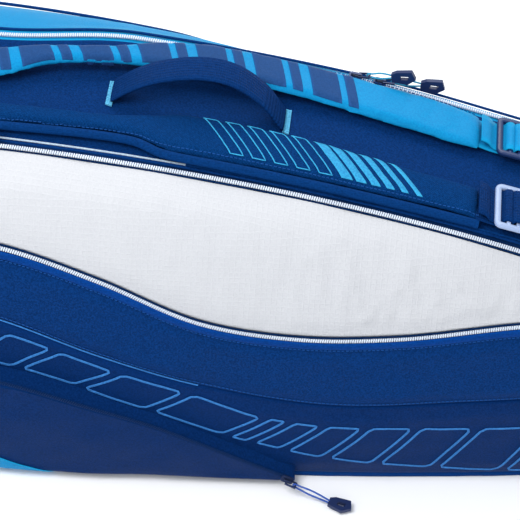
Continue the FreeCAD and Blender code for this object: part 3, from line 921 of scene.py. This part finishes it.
def at_level(x, level):
    """The place on the front at that level."""
    front, _, top, _ = size_at(x)
    if level < 1:
        return Vector((x, -(front - TURN_UNDER * (1 - level) ** 2), SHOULDER_Z * level))
    a = (level - 1) * pi / 2
    z = SHOULDER_Z + (top - SHOULDER_Z) * sin(a) ** (2 / FRONT_SHAPE[1])
    return Vector((x, -front * max(0.0, cos(a)) ** (2 / FRONT_SHAPE[0]), z))


def front_panel(name, low, high, x0, x1, rows, material, height, thickness=CLOTH, inside="lining", edge=88.0):
    """A panel on the front between two heights, low(x) and high(x); high None runs to the zipper."""
    bm = bmesh.new()
    inner = [x for x in stations(5.0) if x0 + 1 < x < x1 - 1]
    grid = []
    for x in [x0] + inner + [x1]:
        a = level_of(x, low(x))
        b = level_of(x, high(x)) if high else level_at_y(x, 76.0)
        b = max(b, a + 0.002)
        grid.append([bm.verts.new(at_level(x, a + (b - a) * i / rows)) for i in range(rows + 1)])
    skin(bm, grid, flip=True)
    cut(bm, (0, -edge, 0), (0, -1, 0))
    lift(bm, height)
    return thicken(finish_mesh(name, bm, material), thickness, inside)


def wave(x):
    """The wave zipper's height."""
    return smooth(WAVE, x)


def seam(x):
    """The height of the seam between the front's two navy cloths."""
    return smooth(SEAM, x)


def pocket_top(x):
    """The height of the pocket's zipper."""
    return smooth(POCKET_TOP, x)


def white_height(p):
    """Puffed between its zippers, with short creases hanging from the main one."""
    fade = ease(0, 26, p.z - wave(p.x)) * ease(0, 30, -COVER_Y - p.y)
    creases = ridge((p.x * 1.5, 0, p.z * 0.3), 30, 21) * ease(-60, 90, p.x) * 2.5
    creases += ridge((p.x * 1.3, 0, p.z * 0.5), 48, 25) * 1.0
    puff = 3.0 * fade + 1.3 * ripple(p, 60, 20) * ease(0, 14, p.z - wave(p.x))
    return puff + creases * fade - 0.5 * ripple((p.x, 0, p.z), 17, 23) * fade


def upper_height(p):
    """The navy band under the wave zipper: softly swollen, pulled in along its seams."""
    up, down = wave(p.x) - 7.6 - p.z, p.z - seam(p.x)
    puff = 3.2 * ease(-2, 18, up) * ease(-2, 18, down)
    folds = 1.5 * ripple(p, 55, 31) + 0.7 * ripple((p.x, 0, p.z * 1.6), 24, 33)
    return puff + folds * ease(0, 14, up) * ease(0, 14, down) - 0.9 * (1 - ease(0, 3, down))


def lower_height(p):
    """The lower front is softly puffed, and pulled in along its seam."""
    down = seam(p.x) - p.z
    puff = 2.6 * ease(0, 22, down) * ease(4, 30, p.z)
    folds = 1.4 * ripple((p.x * 0.7, 0, p.z), 50, 41) + 0.5 * ripple(p, 21, 43)
    return puff + folds * ease(0, 16, down) * ease(4, 24, p.z) - 0.9 * (1 - ease(0, 3, down))


def pocket_rise(x):
    """How proud the pocket stands: least where its slider runs and more towards the head."""
    return 13.0 + 3.8 * ease(-74, -150, x)


def pocket_height(p):
    """The pocket stands up to 17 mm proud, on a rounded gusset at its closed sides."""
    inside = min(p.x - POCKET_X[0], 1.8 * (p.z - 6), 0.5 * (POCKET_X[1] - p.x))
    stand = 1.2 + (pocket_rise(p.x) - 1.2) * sqrt(max(0.0, 1 - (1 - ease(0, 22, inside + 4)) ** 2))
    folds = (1.6 * ripple(p, 60, 51) + 0.7 * ripple(p, 22, 52)) * ease(0, 24, pocket_top(p.x) - p.z)
    return stand + folds * ease(6, 26, inside)


def front_path(height_at, x0, x1, out=0.0, step=3.0, under=None):
    """A path along the front at height_at(x), lying on the panel whose own height is under(p)."""
    path = []
    count = max(2, round((x1 - x0) / step))
    for i in range(count + 1):
        x = x0 + (x1 - x0) * i / count
        point, normal = wall_at(x, height_at(x))
        rise = out + (under(point) if under else 0.0)
        path.append((point + normal * rise, normal))
    return path


def make_front_cover():
    """The white panel over the wave zipper, the cover's ends and the wall behind the flap."""
    white = front_panel("white_cloth", lambda x: wave(x) + 2.0, None, -HALF_LENGTH, HALF_LENGTH, 34,
                        "white_ripstop", white_height, edge=COVER_Y - 2.4)
    place(white, "front_cover", "white_panel")
    for name, x, way, top, node in (("head", -346.5, -1, 277.3, "front_cover_ends"),
                                    ("handle", 316.5, 1, 216.8, None)):
        planes = [((0, -COVER_Y, 0), (0, -1, 0)), above(8),
                  ((0, 0, top), (0, 0, -1)), ((x, 0, 0), (way, 0, 0))]
        end = shell("cover_end_" + name, planes, "navy_twill", lambda p: 1.2 * ripple(p, 40, 61))
        place(end, "front_cover", node)
    wall = front_panel("inner_wall_cloth", lambda x: 14.0, lambda x: wave(x) + 12, -336, 306, 30,
                       "lining", lambda p: -24 + 1.5 * ripple(p, 60, 71), 1.8)
    place(wall, "front_cover", "front_inner_wall")
    edge = front_path(lambda x: wave(x) + 2.4, FLAP_X[0], FLAP_X[1], 0.3, under=white_height)
    binding = ribbon("white_edge_binding", edge, 1.1, "zip_tape", 1.0, 0.3)
    place(binding, "front_cover")


def make_front_flap():
    """The wave zipper and the two navy cloths under it."""
    def on_zip(dz, out):
        return front_path(lambda x: wave(x) + dz, FLAP_X[0], FLAP_X[1], out)

    tape = front_panel("wave_tape", lambda x: wave(x) - 7.2, lambda x: wave(x) + 3.2, *FLAP_X, 4,
                       "zip_tape", lambda p: -0.2, 1.6, None)
    place(tape, "front_flap", "wave_zip_tape")
    coil = coil_mesh("wave_coil", on_zip(-0.6, 1.1), "coil_white", 2.0, 3.8, 1.3)
    place(coil, "front_flap", "wave_zip_coil")
    band = ribbon("wave_binding", on_zip(-6.4, 1.2), 6.4, "royal_bright", 1.2, 1.0)
    place(band, "front_flap")
    stitches = stitch_row("wave_stitching", on_zip(-11.0, 2.4), "thread_navy", 2.4, 1.4, 0.6)
    place(stitches, "front_flap")
    upper = front_panel("upper_cloth", lambda x: seam(x) + 0.3, lambda x: wave(x) - 7.6, *FLAP_X, 22,
                        "navy_twill", upper_height)
    place(upper, "front_flap", "front_upper_panel")
    lower = front_panel("lower_cloth", lambda x: 8.0, lambda x: seam(x) - 0.3, *FLAP_X, 34,
                        "navy_smooth", lower_height)
    place(lower, "front_flap", "front_lower_panel")
    line = tube("seam_piping", front_path(seam, FLAP_X[0], -40, 0.1), 0.7, "print_blue")
    place(line, "front_flap")
    row = stitch_row("seam_stitching", front_path(lambda x: seam(x) + 5, *FLAP_X, 0.9, under=upper_height),
                     "thread_navy", 2.6, 1.2, 0.6)
    place(row, "front_flap")


def make_pocket():
    """The accessory pocket, its pale corner patch, and the band and coil of its zipper."""
    panel = front_panel("pocket_cloth", lambda x: 5.0, lambda x: max(6.0, pocket_top(x) - 3.0),
                        *POCKET_X, 52, "navy_smooth", pocket_height, 2.4)
    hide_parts("pocket_panel")
    wedge = front_panel("pocket_corner_patch", lambda x: 5.2, lambda x: 9.0 + 0.40 * (-171 - x),
                        -331, -171, 44, "light_blue_fabric", lambda p: pocket_height(p) + 1.2, 1.0, None)
    for piece in (panel, wedge):
        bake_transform(piece)

    def band_height(p):
        return 0.8 + (pocket_rise(p.x) - 0.8) * (1 - ease(0, 7.5, p.z - pocket_top(p.x)))

    band = front_panel("pocket_band", lambda x: pocket_top(x) - 2.0, lambda x: pocket_top(x) + 8.0,
                       POCKET_X[0] - 2, POCKET_X[1], 8, "navy_smooth", band_height, 1.4, None)
    place(band, "front_flap", "pocket_zip")
    path = front_path(lambda x: pocket_top(x) + 0.6, POCKET_X[0], POCKET_X[1] - 4, 0.9, under=band_height)
    place(coil_mesh("pocket_coil", path, "coil_dark", 2.0, 4.2, 1.3), "front_flap")


# ---- the rear cover

def rear_height(p):
    """A smooth pod with long soft folds along its top."""
    puff = 3.0 * ease(10, 60, p.z) * ease(280, 200, p.z)
    folds = 1.1 * ridge((p.x * 0.3, p.y * 1.2, p.z * 1.2), 38, 81)
    folds += 1.3 * ripple((p.x * 0.35, p.y, p.z), 45, 83)
    return puff + folds * ease(COVER_Y + 4, 112, p.y) * ease(8, 30, p.z)


def make_rear_cover():
    """The rear pod's cloth and its two lines of piping."""
    rear = shell("rear_cloth", [((0, COVER_Y, 0), (0, 1, 0)), above(8)], "light_blue_fabric", rear_height,
                 first=round_pod)
    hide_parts("rear_panel")
    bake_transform(rear)
    piping = tube("rear_piping_cord", ring_path(88.0), 1.3, "royal_blue_tape")
    place(piping, "rear_cover", "rear_piping")
    back_edge = []
    for x in stations(4.0):
        if -372 < x < 366:
            y0, z0, radius = pod_corner(x)
            turn = radians(44 - 20 * ease(-110, 0, x))
            out = Vector((0, cos(turn), sin(turn)))
            back_edge.append((Vector((x, y0, z0)) + out * (radius + 1.6), out))
    place(tube("rear_back_piping", back_edge, 1.5, "royal_blue_tape"), "rear_cover")


# ---- the printed pattern on the lower front

def soft_corners(corners, share=0.07):
    """A closed outline with each corner cut back twice, so that it turns softly."""
    for _ in range(2):
        made = []
        for i, a in enumerate(corners):
            b = corners[(i + 1) % len(corners)]
            made += [(a[0] * (1 - f) + b[0] * f, a[1] * (1 - f) + b[1] * f) for f in (share, 1 - share)]
        corners = made
    return corners + corners[:1]


def make_pattern():
    """Slanted outlined bars along the lower front, under a curved band."""
    loops = []
    x, wide = -330.0, 12.0
    while x < 270:
        corners = [(x, 0.0), (x + wide, 0.0), (x + wide + 34, 1.0), (x + 34, 1.0)]
        dense = []
        loop = soft_corners(corners)
        for (x0, s0), (x1, s1) in zip(loop, loop[1:]):
            count = max(1, round(abs(x1 - x0) / 3 + abs(s1 - s0) * 12))
            dense += [(x0 + (x1 - x0) * i / count, s0 + (s1 - s0) * i / count) for i in range(count)]
        path = []
        for px, share in dense + dense[:1]:
            z = smooth(BAND_LOW, px) * (1 - share) + smooth(BAND_TOP, px) * share
            point, normal = wall_at(px, z)
            path.append((point + normal * (lower_height(point) + 0.35), normal))
        loops.append(path)
        x += wide + 10
        wide = wide + 8 if wide < 60 else 12.0
    place(ribbons("front_pattern", loops, 2.3, "print_blue", 0.3, 0.0), "front_flap")


# ---- putting the shell together

def make_front_piping():
    """Light where it shows beside the strap, and navy past it."""
    path = [roof_at(x, -71.0, 0.8) for x in stations(3.0) if abs(x) < 330]
    light = tube("front_piping_cord", [at for at in path if at[0].x < -60], 0.9, "piping_light")
    dark = tube("front_piping_rest", [at for at in path if at[0].x >= -63], 0.9, "royal_blue_tape")
    place(light, "core", "front_piping")
    place(dark, "core")


make_base()
make_divider()
make_spine()
make_main_zippers()
make_front_piping()
make_front_cover()
make_front_flap()
make_pocket()
make_rear_cover()
make_pattern()


# ---- the carry handle

def chord_z(x):
    """The height of the straight line between the handle's feet."""
    x0, x1 = HANDLE_X
    z0, z1 = size_at(x0)[2], size_at(x1)[2]
    return z0 + (z1 - z0) * (x - x0) / (x1 - x0)


def handle_path():
    """The webbing's middle line: sewn flat at both ends and bowed up between them."""
    x0, x1 = HANDLE_X
    points = []
    for i in range(73):
        x = x0 + (x1 - x0) * i / 72
        points.append(Vector((x, HANDLE_Y, chord_z(x) + max(0.0, smooth(HANDLE_CURVE, x)) + 1.4)))
    return [(point, Vector((-along.z, 0, along.x))) for point, along in zip(points, runs(points))]


def bartack(name, x, y0, y1):
    """A dense bar of zigzag thread across the webbing's end."""
    bm = bmesh.new()
    y = y0
    while y <= y1:
        point, normal = roof_at(x, y, 0.9 + spine_height(Vector((x, y, 300))))
        slant = 0.35 if int((y - y0) / 0.95) % 2 else -0.35
        add_prism(bm, point, Vector((1, slant, 0)).normalized(), normal, (6.2, 0.95, 1.6))
        y += 0.95
    return finish_mesh(name, bm, "thread_light", 30)


def make_handle():
    """The grip of webbing, its rows of stitches and the bars that hold its feet."""
    path = handle_path()
    web = ribbon("handle_web", [(p - n * 0.2, n) for p, n in path], HANDLE_WIDTH + 3, "webbing", 2.2, 0.5)
    lifted = [(p + n * 0.7, n) for p, n in path[1:-1]]
    rows = [stitch_row(f"handle_stitches_{i}", lifted, "thread_navy", 3.0, 0.8, 0.9, 4.0 * (i - 3))
            for i in range(7)]
    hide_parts("handle_webbing")
    for piece in [web] + rows:
        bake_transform(piece)
    head = bartack("bartack_head", HANDLE_X[0] - 2.2, -12.5, 18.0)
    tail = bartack("bartack_tail", HANDLE_X[1] + 3.6, -9, 21)
    place(head, "core", "handle_bartacks")
    place(tail, "core")


# ---- the shoulder straps

def on_pad(inner, outer, x, t, out):
    """A place over the spine, t of the way across a strap from its inner to its outer edge."""
    y = smooth(inner, x) * (1 - t) + smooth(outer, x) * t
    return roof_at(x, y, out)


def pad_mesh(name, inner, outer, low, high, arch, material):
    """A padded strap as a closed crowned form over the spine; arch is how far it stands off, by x."""
    bm = bmesh.new()
    x0, x1 = STRAP_X
    rings, across, count = [], 16, 130
    for i in range(count + 1):
        x = x0 + (x1 - x0) * i / count
        end = ease(0, 9, min(x - x0, x1 - x) + 1.5)
        over, under = [], []
        for k in range(across + 1):
            t = k / across
            crown = max(0.0, 1 - abs(2 * t - 1) ** 3.0) ** 0.5
            rise = (high - low) * (0.35 + 0.65 * crown) * (0.35 + 0.65 * end)
            over.append(on_pad(inner, outer, x, t, low + arch(x) + rise)[0])
            under.append(on_pad(inner, outer, x, t, low + arch(x) + 0.8 * (1 - crown))[0])
        rings.append([bm.verts.new(at) for at in over + under[::-1]])
    sleeve(bm, rings)
    bmesh.ops.recalc_face_normals(bm, faces=bm.faces)
    return finish_mesh(name, bm, material, 60)


def even_out(data):
    """Smooths away the steps that remeshing leaves, and any old cloth coordinates."""
    bm = bmesh.new()
    bm.from_mesh(data)
    for _ in range(5):
        bmesh.ops.smooth_vert(bm, verts=bm.verts, factor=0.5,
                              use_axis_x=True, use_axis_y=True, use_axis_z=True)
    bm.to_mesh(data)
    bm.free()
    while data.uv_layers:
        data.uv_layers.remove(data.uv_layers[0])


def swell(obj, voxel, pressure, cap):
    """Puffs a closed pad with a short cloth simulation, no point moving more than cap, in metres."""
    view = bpy.context.view_layer
    view.objects.active = obj
    obj.select_set(True)
    obj.data.remesh_voxel_size = voxel
    bpy.ops.object.voxel_remesh()
    start = [v.co.copy() for v in obj.data.vertices]
    cloth = obj.modifiers.new("cloth", "CLOTH")
    cloth.settings.quality = 6
    cloth.settings.mass = 0.25
    cloth.settings.tension_stiffness = 12
    cloth.settings.compression_stiffness = 6
    cloth.settings.bending_stiffness = 0.4
    cloth.settings.use_pressure = True
    cloth.settings.uniform_pressure_force = pressure
    cloth.settings.effector_weights.gravity = 0
    for frame_number in range(1, 21):
        bpy.context.scene.frame_set(frame_number)
    done = obj.evaluated_get(bpy.context.evaluated_depsgraph_get())
    moved = [v.co.copy() for v in done.data.vertices]
    obj.modifiers.remove(cloth)
    bpy.context.scene.frame_set(1)
    for vert, a, b in zip(obj.data.vertices, start, moved):
        step = b - a
        vert.co = a + step * min(1.0, cap / max(step.length, 1e-9))
    even_out(obj.data)
    box_uv(obj.data)
    obj.data.shade_smooth()
    obj.select_set(False)


def fold_cloth(obj, amount, size, seed):
    """Small folds and dents pressed into a finished pad along its normals."""
    normals = [n.vector.copy() for n in obj.data.vertex_normals]
    for vert, normal in zip(obj.data.vertices, normals):
        p = vert.co / MM
        dent = ripple(p, size, seed) + 0.5 * ripple(p, size * 0.4, seed + 1)
        dent -= 0.8 * ridge(p, size * 0.8, seed + 2)
        vert.co += normal * dent * amount * MM


def over_pad(pad, points):
    """Drops points, given with their ways out, on to a pad's finished surface."""
    tree = BVHTree.FromObject(pad, bpy.context.evaluated_depsgraph_get())
    made = []
    for point, normal in points:
        start = (point + normal * 25) * MM
        hit = tree.ray_cast(start, -normal, 0.05)[0]
        made.append((hit / MM if hit else point, normal))
    return made


def quad_patch(bm, pad, inner, outer, corners, out=0.55, pitch=2.0, rows=24):
    """A printed shape with four corners, each (x, t), lying on a strap pad."""
    a, b, c, d = (Vector(p) for p in corners)
    width = max(abs((b - a).x), abs((c - d).x), 4)
    cols = max(2, round(width / pitch))
    points = [a.lerp(b, i / cols).lerp(d.lerp(c, i / cols), k / rows)
              for i in range(cols + 1) for k in range(rows + 1)]
    dropped = over_pad(pad, [on_pad(inner, outer, p.x, p.y, 8) for p in points])
    verts = [bm.verts.new(p + n * out) for p, n in dropped]
    for face in skin(bm, [verts[i:i + rows + 1] for i in range(0, len(verts), rows + 1)]):
        face.normal_update()
        if face.normal.z < 0:
            face.normal_flip()


def printed(name, pad, inner, outer, shapes, material):
    """Printed shapes on a strap, as one piece."""
    bm = bmesh.new()
    for corners in shapes:
        quad_patch(bm, pad, inner, outer, corners)
    return thicken(finish_mesh(name, bm, material), 0.25)


def outline_path(pad, inner, outer, corners, out=0.45):
    """A closed line on a pad through (x, t) corners."""
    points = []
    ring = list(corners) + [corners[0]]
    for (x0, t0), (x1, t1) in zip(ring, ring[1:]):
        count = max(2, round((abs(x1 - x0) + 40 * abs(t1 - t0)) / 3))
        for i in range(count):
            f = i / count
            points.append(on_pad(inner, outer, x0 + (x1 - x0) * f, t0 + (t1 - t0) * f, 8))
    points.append(points[0])
    return [(p + n * out, n) for p, n in over_pad(pad, points)]


def slanted(x, t0, t1, wide, shift):
    """A slanted bar's corners on a strap, from t0 to t1 across it."""
    return [(x, t0), (x + wide, t0), (x + wide + shift, t1), (x + shift, t1)]


def make_front_strap():
    """The mesh strap: its cushion, bound edge, stitches and printed bars."""
    inner, outer = FRONT_STRAP_INNER, FRONT_STRAP_OUTER
    edge = [(x, y + 4.0) for x, y in outer]

    def arch(x):
        return 1.2 + 1.6 * sin(pi * ease(-318, 189, x))

    pad = pad_mesh("front_strap_cushion", inner, edge, 2.4, 7.8, arch, "navy_mesh")
    swell(pad, 0.0026, 3.0, 0.0022)
    fold_cloth(pad, 0.5, 34, 91)
    place(pad, "front_strap", "front_strap_pad")
    rim, inner_row = [], []
    for i in range(170):
        x = STRAP_X[0] + (STRAP_X[1] - STRAP_X[0]) * i / 169
        point, normal = on_pad(inner, outer, x, 0.965, arch(x) + 4.2)
        rim.append((point, (normal + Vector((0, -0.55, 0))).normalized()))
        inner_row.append(on_pad(inner, edge, x, 0.885, 8))
    binding = tube("front_strap_edge", rim, 3.9, "royal_blue_tape", 12, 0.7)
    place(binding, "front_strap", "front_strap_binding")
    row = stitch_row("front_strap_stitches", [(p + n * 0.3, n) for p, n in over_pad(pad, inner_row)],
                     "thread_navy", 2.6, 1.2, 0.7)
    lines = [outline_path(pad, inner, edge, slanted(-54 + 19 * k, 0.10, 0.84, 11, 27)) for k in range(5)]
    shapes = [slanted(41 + 13 * k, 0.10, 0.84, 10 - k, 27) for k in range(6)]
    art = ribbons("front_strap_outlines", lines, 1.0, "print_cyan", 0.2)
    filled = printed("front_strap_print", pad, inner, edge, shapes, "print_cyan")
    for piece in (row, art, filled):
        place(piece, "front_strap")


def make_rear_strap():
    """The pale blue strap: its cushion, stitches and printed bars."""
    inner = [(x, y - 6.0 * ease(-150, -40, x) * ease(186, 120, x)) for x, y in REAR_STRAP_INNER]
    outer = [(x, y + 4.5 * ease(-165, -90, x) * ease(140, 55, x)) for x, y in REAR_STRAP_OUTER]

    def arch(x):
        return 1.0 + 7.0 * ease(-300, -180, x) * ease(90, -80, x) + 1.5 * ease(-80, 90, x) * ease(188, 120, x)

    pad = pad_mesh("rear_strap_cushion", inner, outer, 2.4, 8.2, arch, "light_blue_fabric")
    swell(pad, 0.0026, 3.0, 0.0022)
    fold_cloth(pad, 0.6, 40, 95)
    place(pad, "rear_strap", "rear_strap_pad")
    shapes = []
    for k in range(8):
        x = -314 + 50 * k
        shapes.append(slanted(x, 0.12, 0.90, 26, -9))
        shapes.append(slanted(x + 32, 0.12, 0.90, 9, -9))
    art = printed("rear_strap_print", pad, inner, outer, shapes, "print_grey")
    row = [on_pad(inner, outer, -312 + 494 * i / 159, 0.955, 8) for i in range(160)]
    stitches = stitch_row("rear_strap_stitches", [(p + n * 0.3, n) for p, n in over_pad(pad, row)],
                          "print_navy", 2.6, 1.2, 0.6)
    for piece in (art, stitches):
        place(piece, "rear_strap")


# ---- ladder locks and webbing

def lock_place(y):
    """The lock's own frame in mm: local X runs down the bag and local Z out of the spine."""
    slope = -(LOCK_X - CREST_X) / SPINE_RADIUS
    at = Vector((LOCK_X, y, size_at(LOCK_X)[2] + LOCK_LIFT))
    x = Vector((1, 0, slope)).normalized()
    z = Vector((-slope, 0, 1)).normalized()
    return at, x, z


def local_path(y, points):
    """A path of (x, z) points in a lock's frame, rounded, with the ways out across it."""
    at, ax, az = lock_place(y)
    line = [at + ax * px + az * pz for px, pz in points]
    for _ in range(3):
        line = line[:1] + [a.lerp(b, f) for a, b in zip(line, line[1:]) for f in (0.25, 0.75)] + line[-1:]
    return [(p, Vector((0, 1, 0)).cross(along).normalized() * -1) for p, along in zip(line, runs(line))]


def rounded_bar(bm, path, wide, thick):
    """A moulded bar along a path of (point, way out), with a rounded rectangular section."""
    def squared(value):
        return copysign(abs(value) ** 0.55, value)

    turns = [2 * pi * k / 16 for k in range(16)]
    sleeve(bm, [[bm.verts.new(centre + side * wide / 2 * squared(cos(a)) + up * thick / 2 * squared(sin(a)))
                 for a in turns] for centre, _, side, up in framed(path)])


def make_lock(name, material):
    """A ladder lock: a rounded frame and two inner bars, bowed a little along its length."""
    y, width = LOCKS[name]
    at, ax, az = lock_place(y)
    ay = Vector((0, 1, 0))
    half = width / 2

    def spot(px, py):
        return at + ax * px + ay * py + az * (1.1 * sin(pi * px / LOCK_LENGTH) - 0.5)

    loop = []
    corner = 6.0
    far = LOCK_LENGTH - corner
    for cx, cy, a0 in ((far, half - corner, 90), (corner, half - corner, 180),
                       (corner, corner - half, 270), (far, corner - half, 360)):
        for i in range(7):
            a = radians(a0 - 90 + 90 * i / 6)
            loop.append((cx + (corner - 2.3) * cos(a), cy + (corner - 2.3) * sin(a)))
    loop.append(loop[0])
    bm = bmesh.new()
    rounded_bar(bm, [(spot(px, py), az) for px, py in loop], 5.4, 4.4)
    for px, thick in ((12.0, 4.0), (20.5, 3.4)):
        rounded_bar(bm, [(spot(px, -half + 3 + (width - 6) * i / 8), az) for i in range(9)], thick, 3.6)
    for k in range(7):
        py = -half + 7 + (width - 14) * k / 6
        rounded_bar(bm, [(spot(px, py) + az * 2.0, az) for px in (30.0, 33.4)], 1.5, 1.0)
    bmesh.ops.recalc_face_normals(bm, faces=bm.faces)
    lock = finish_mesh(name + "_lock", bm, material, 50)
    place(lock, name + "_lock", name + "_ladder_lock")


def make_lock_webbing(name, material):
    """A strap's loop through its lock, the loose tail, and the webbing to the bag's end."""
    y, width = LOCKS[name]
    wide = width - 2 * LOCK_RIM
    bend = local_path(y, [(-16, 3.6), (-9, 2.4), (-4, -2.6), (3, -3.6), (8, -1.8), (9.4, 2.6), (14.2, 2.9),
                          (15.2, -1.6), (9, -5.0), (-4, -5.0), (-16, -3.2)])
    loop = ribbon(name + "_loop_web", bend, wide, material, 1.3)
    place(loop, name + "_strap", name + "_strap_loop")
    bend = local_path(y, [(38, -5.6), (20, -5.2), (16.2, -3.0), (16.2, 1.6), (18.2, 3.6), (23.5, 3.6),
                          (25.4, 1.5), (26.5, -1.6), (30, -3.2)])
    tail = ribbon(name + "_tail_web", bend, wide, material, 1.3)
    place(tail, name + "_lock", name + "_web_tail")
    run = local_path(y, [(27, -2.0), (34, -4.2), (44, -4.6)])[:-1]
    for i in range(30):
        x = 250 + 94 * i / 29
        run.append(roof_at(x, y, 4.7 - 3.4 * ease(250, 344, x)))
    web = ribbon(name + "_adjuster_web", run, wide, material, 1.3)
    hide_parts(name + "_anchor_web")
    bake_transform(web)


def make_yoke():
    """The patch that the two straps are sewn under, edged with a row of stitches."""
    bm = bmesh.new()
    rows = []
    for i in range(11):
        x = -347 + 27 * i / 10
        rows.append([bm.verts.new(roof_at(x, -68 + 98 * k / 30, 2.6 + 0.5 * ripple((x, k * 3, 0), 18, 5))[0])
                     for k in range(31)])
    skin(bm, rows, flip=True)
    patch = thicken(finish_mesh("yoke_patch", bm, "navy_twill"), 2.0)
    place(patch, "core", "strap_yoke")
    for i, x in enumerate((-344, -323.5)):
        line = [roof_at(x, -66 + 94 * k / 40, 2.9) for k in range(41)]
        place(stitch_row(f"yoke_stitches_{i}", line, "thread_navy"), "core")


# ---- sliders, pull cords and tabs

def dress_nodes():
    """The sliders, tabs and board keep their own shape, with softened edges and their finish."""
    for node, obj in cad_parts.items():
        if node.endswith("_slider"):
            material, width = "slider_metal", 0.35
        elif node.endswith("_pull_tab"):
            material, width = "pull_tab", 0.7
        elif node == "base_stiffener":
            material, width = "board", 0.0
        else:
            continue
        obj.data.materials.clear()
        obj.data.materials.append(MATS[material])
        if width:
            soften = obj.modifiers.new("soften", "BEVEL")
            soften.width = width * MM
            soften.segments = 3
            soften.limit_method = "ANGLE"
            soften.angle_limit = radians(35)


def place_cords():
    """Each cord rides its pull, in place of the CAD node of its cord."""
    for pull, (at, way, up) in PULLS.items():
        cord = cords[pull]
        place(cord, pull + "_pull", pull + "_pull_cord")


make_handle()
make_yoke()
make_front_strap()
make_rear_strap()
make_lock("front", "buckle_front")
make_lock("rear", "buckle_rear")
make_lock_webbing("front", "webbing")
make_lock_webbing("rear", "light_blue_fabric")
dress_nodes()
place_cords()
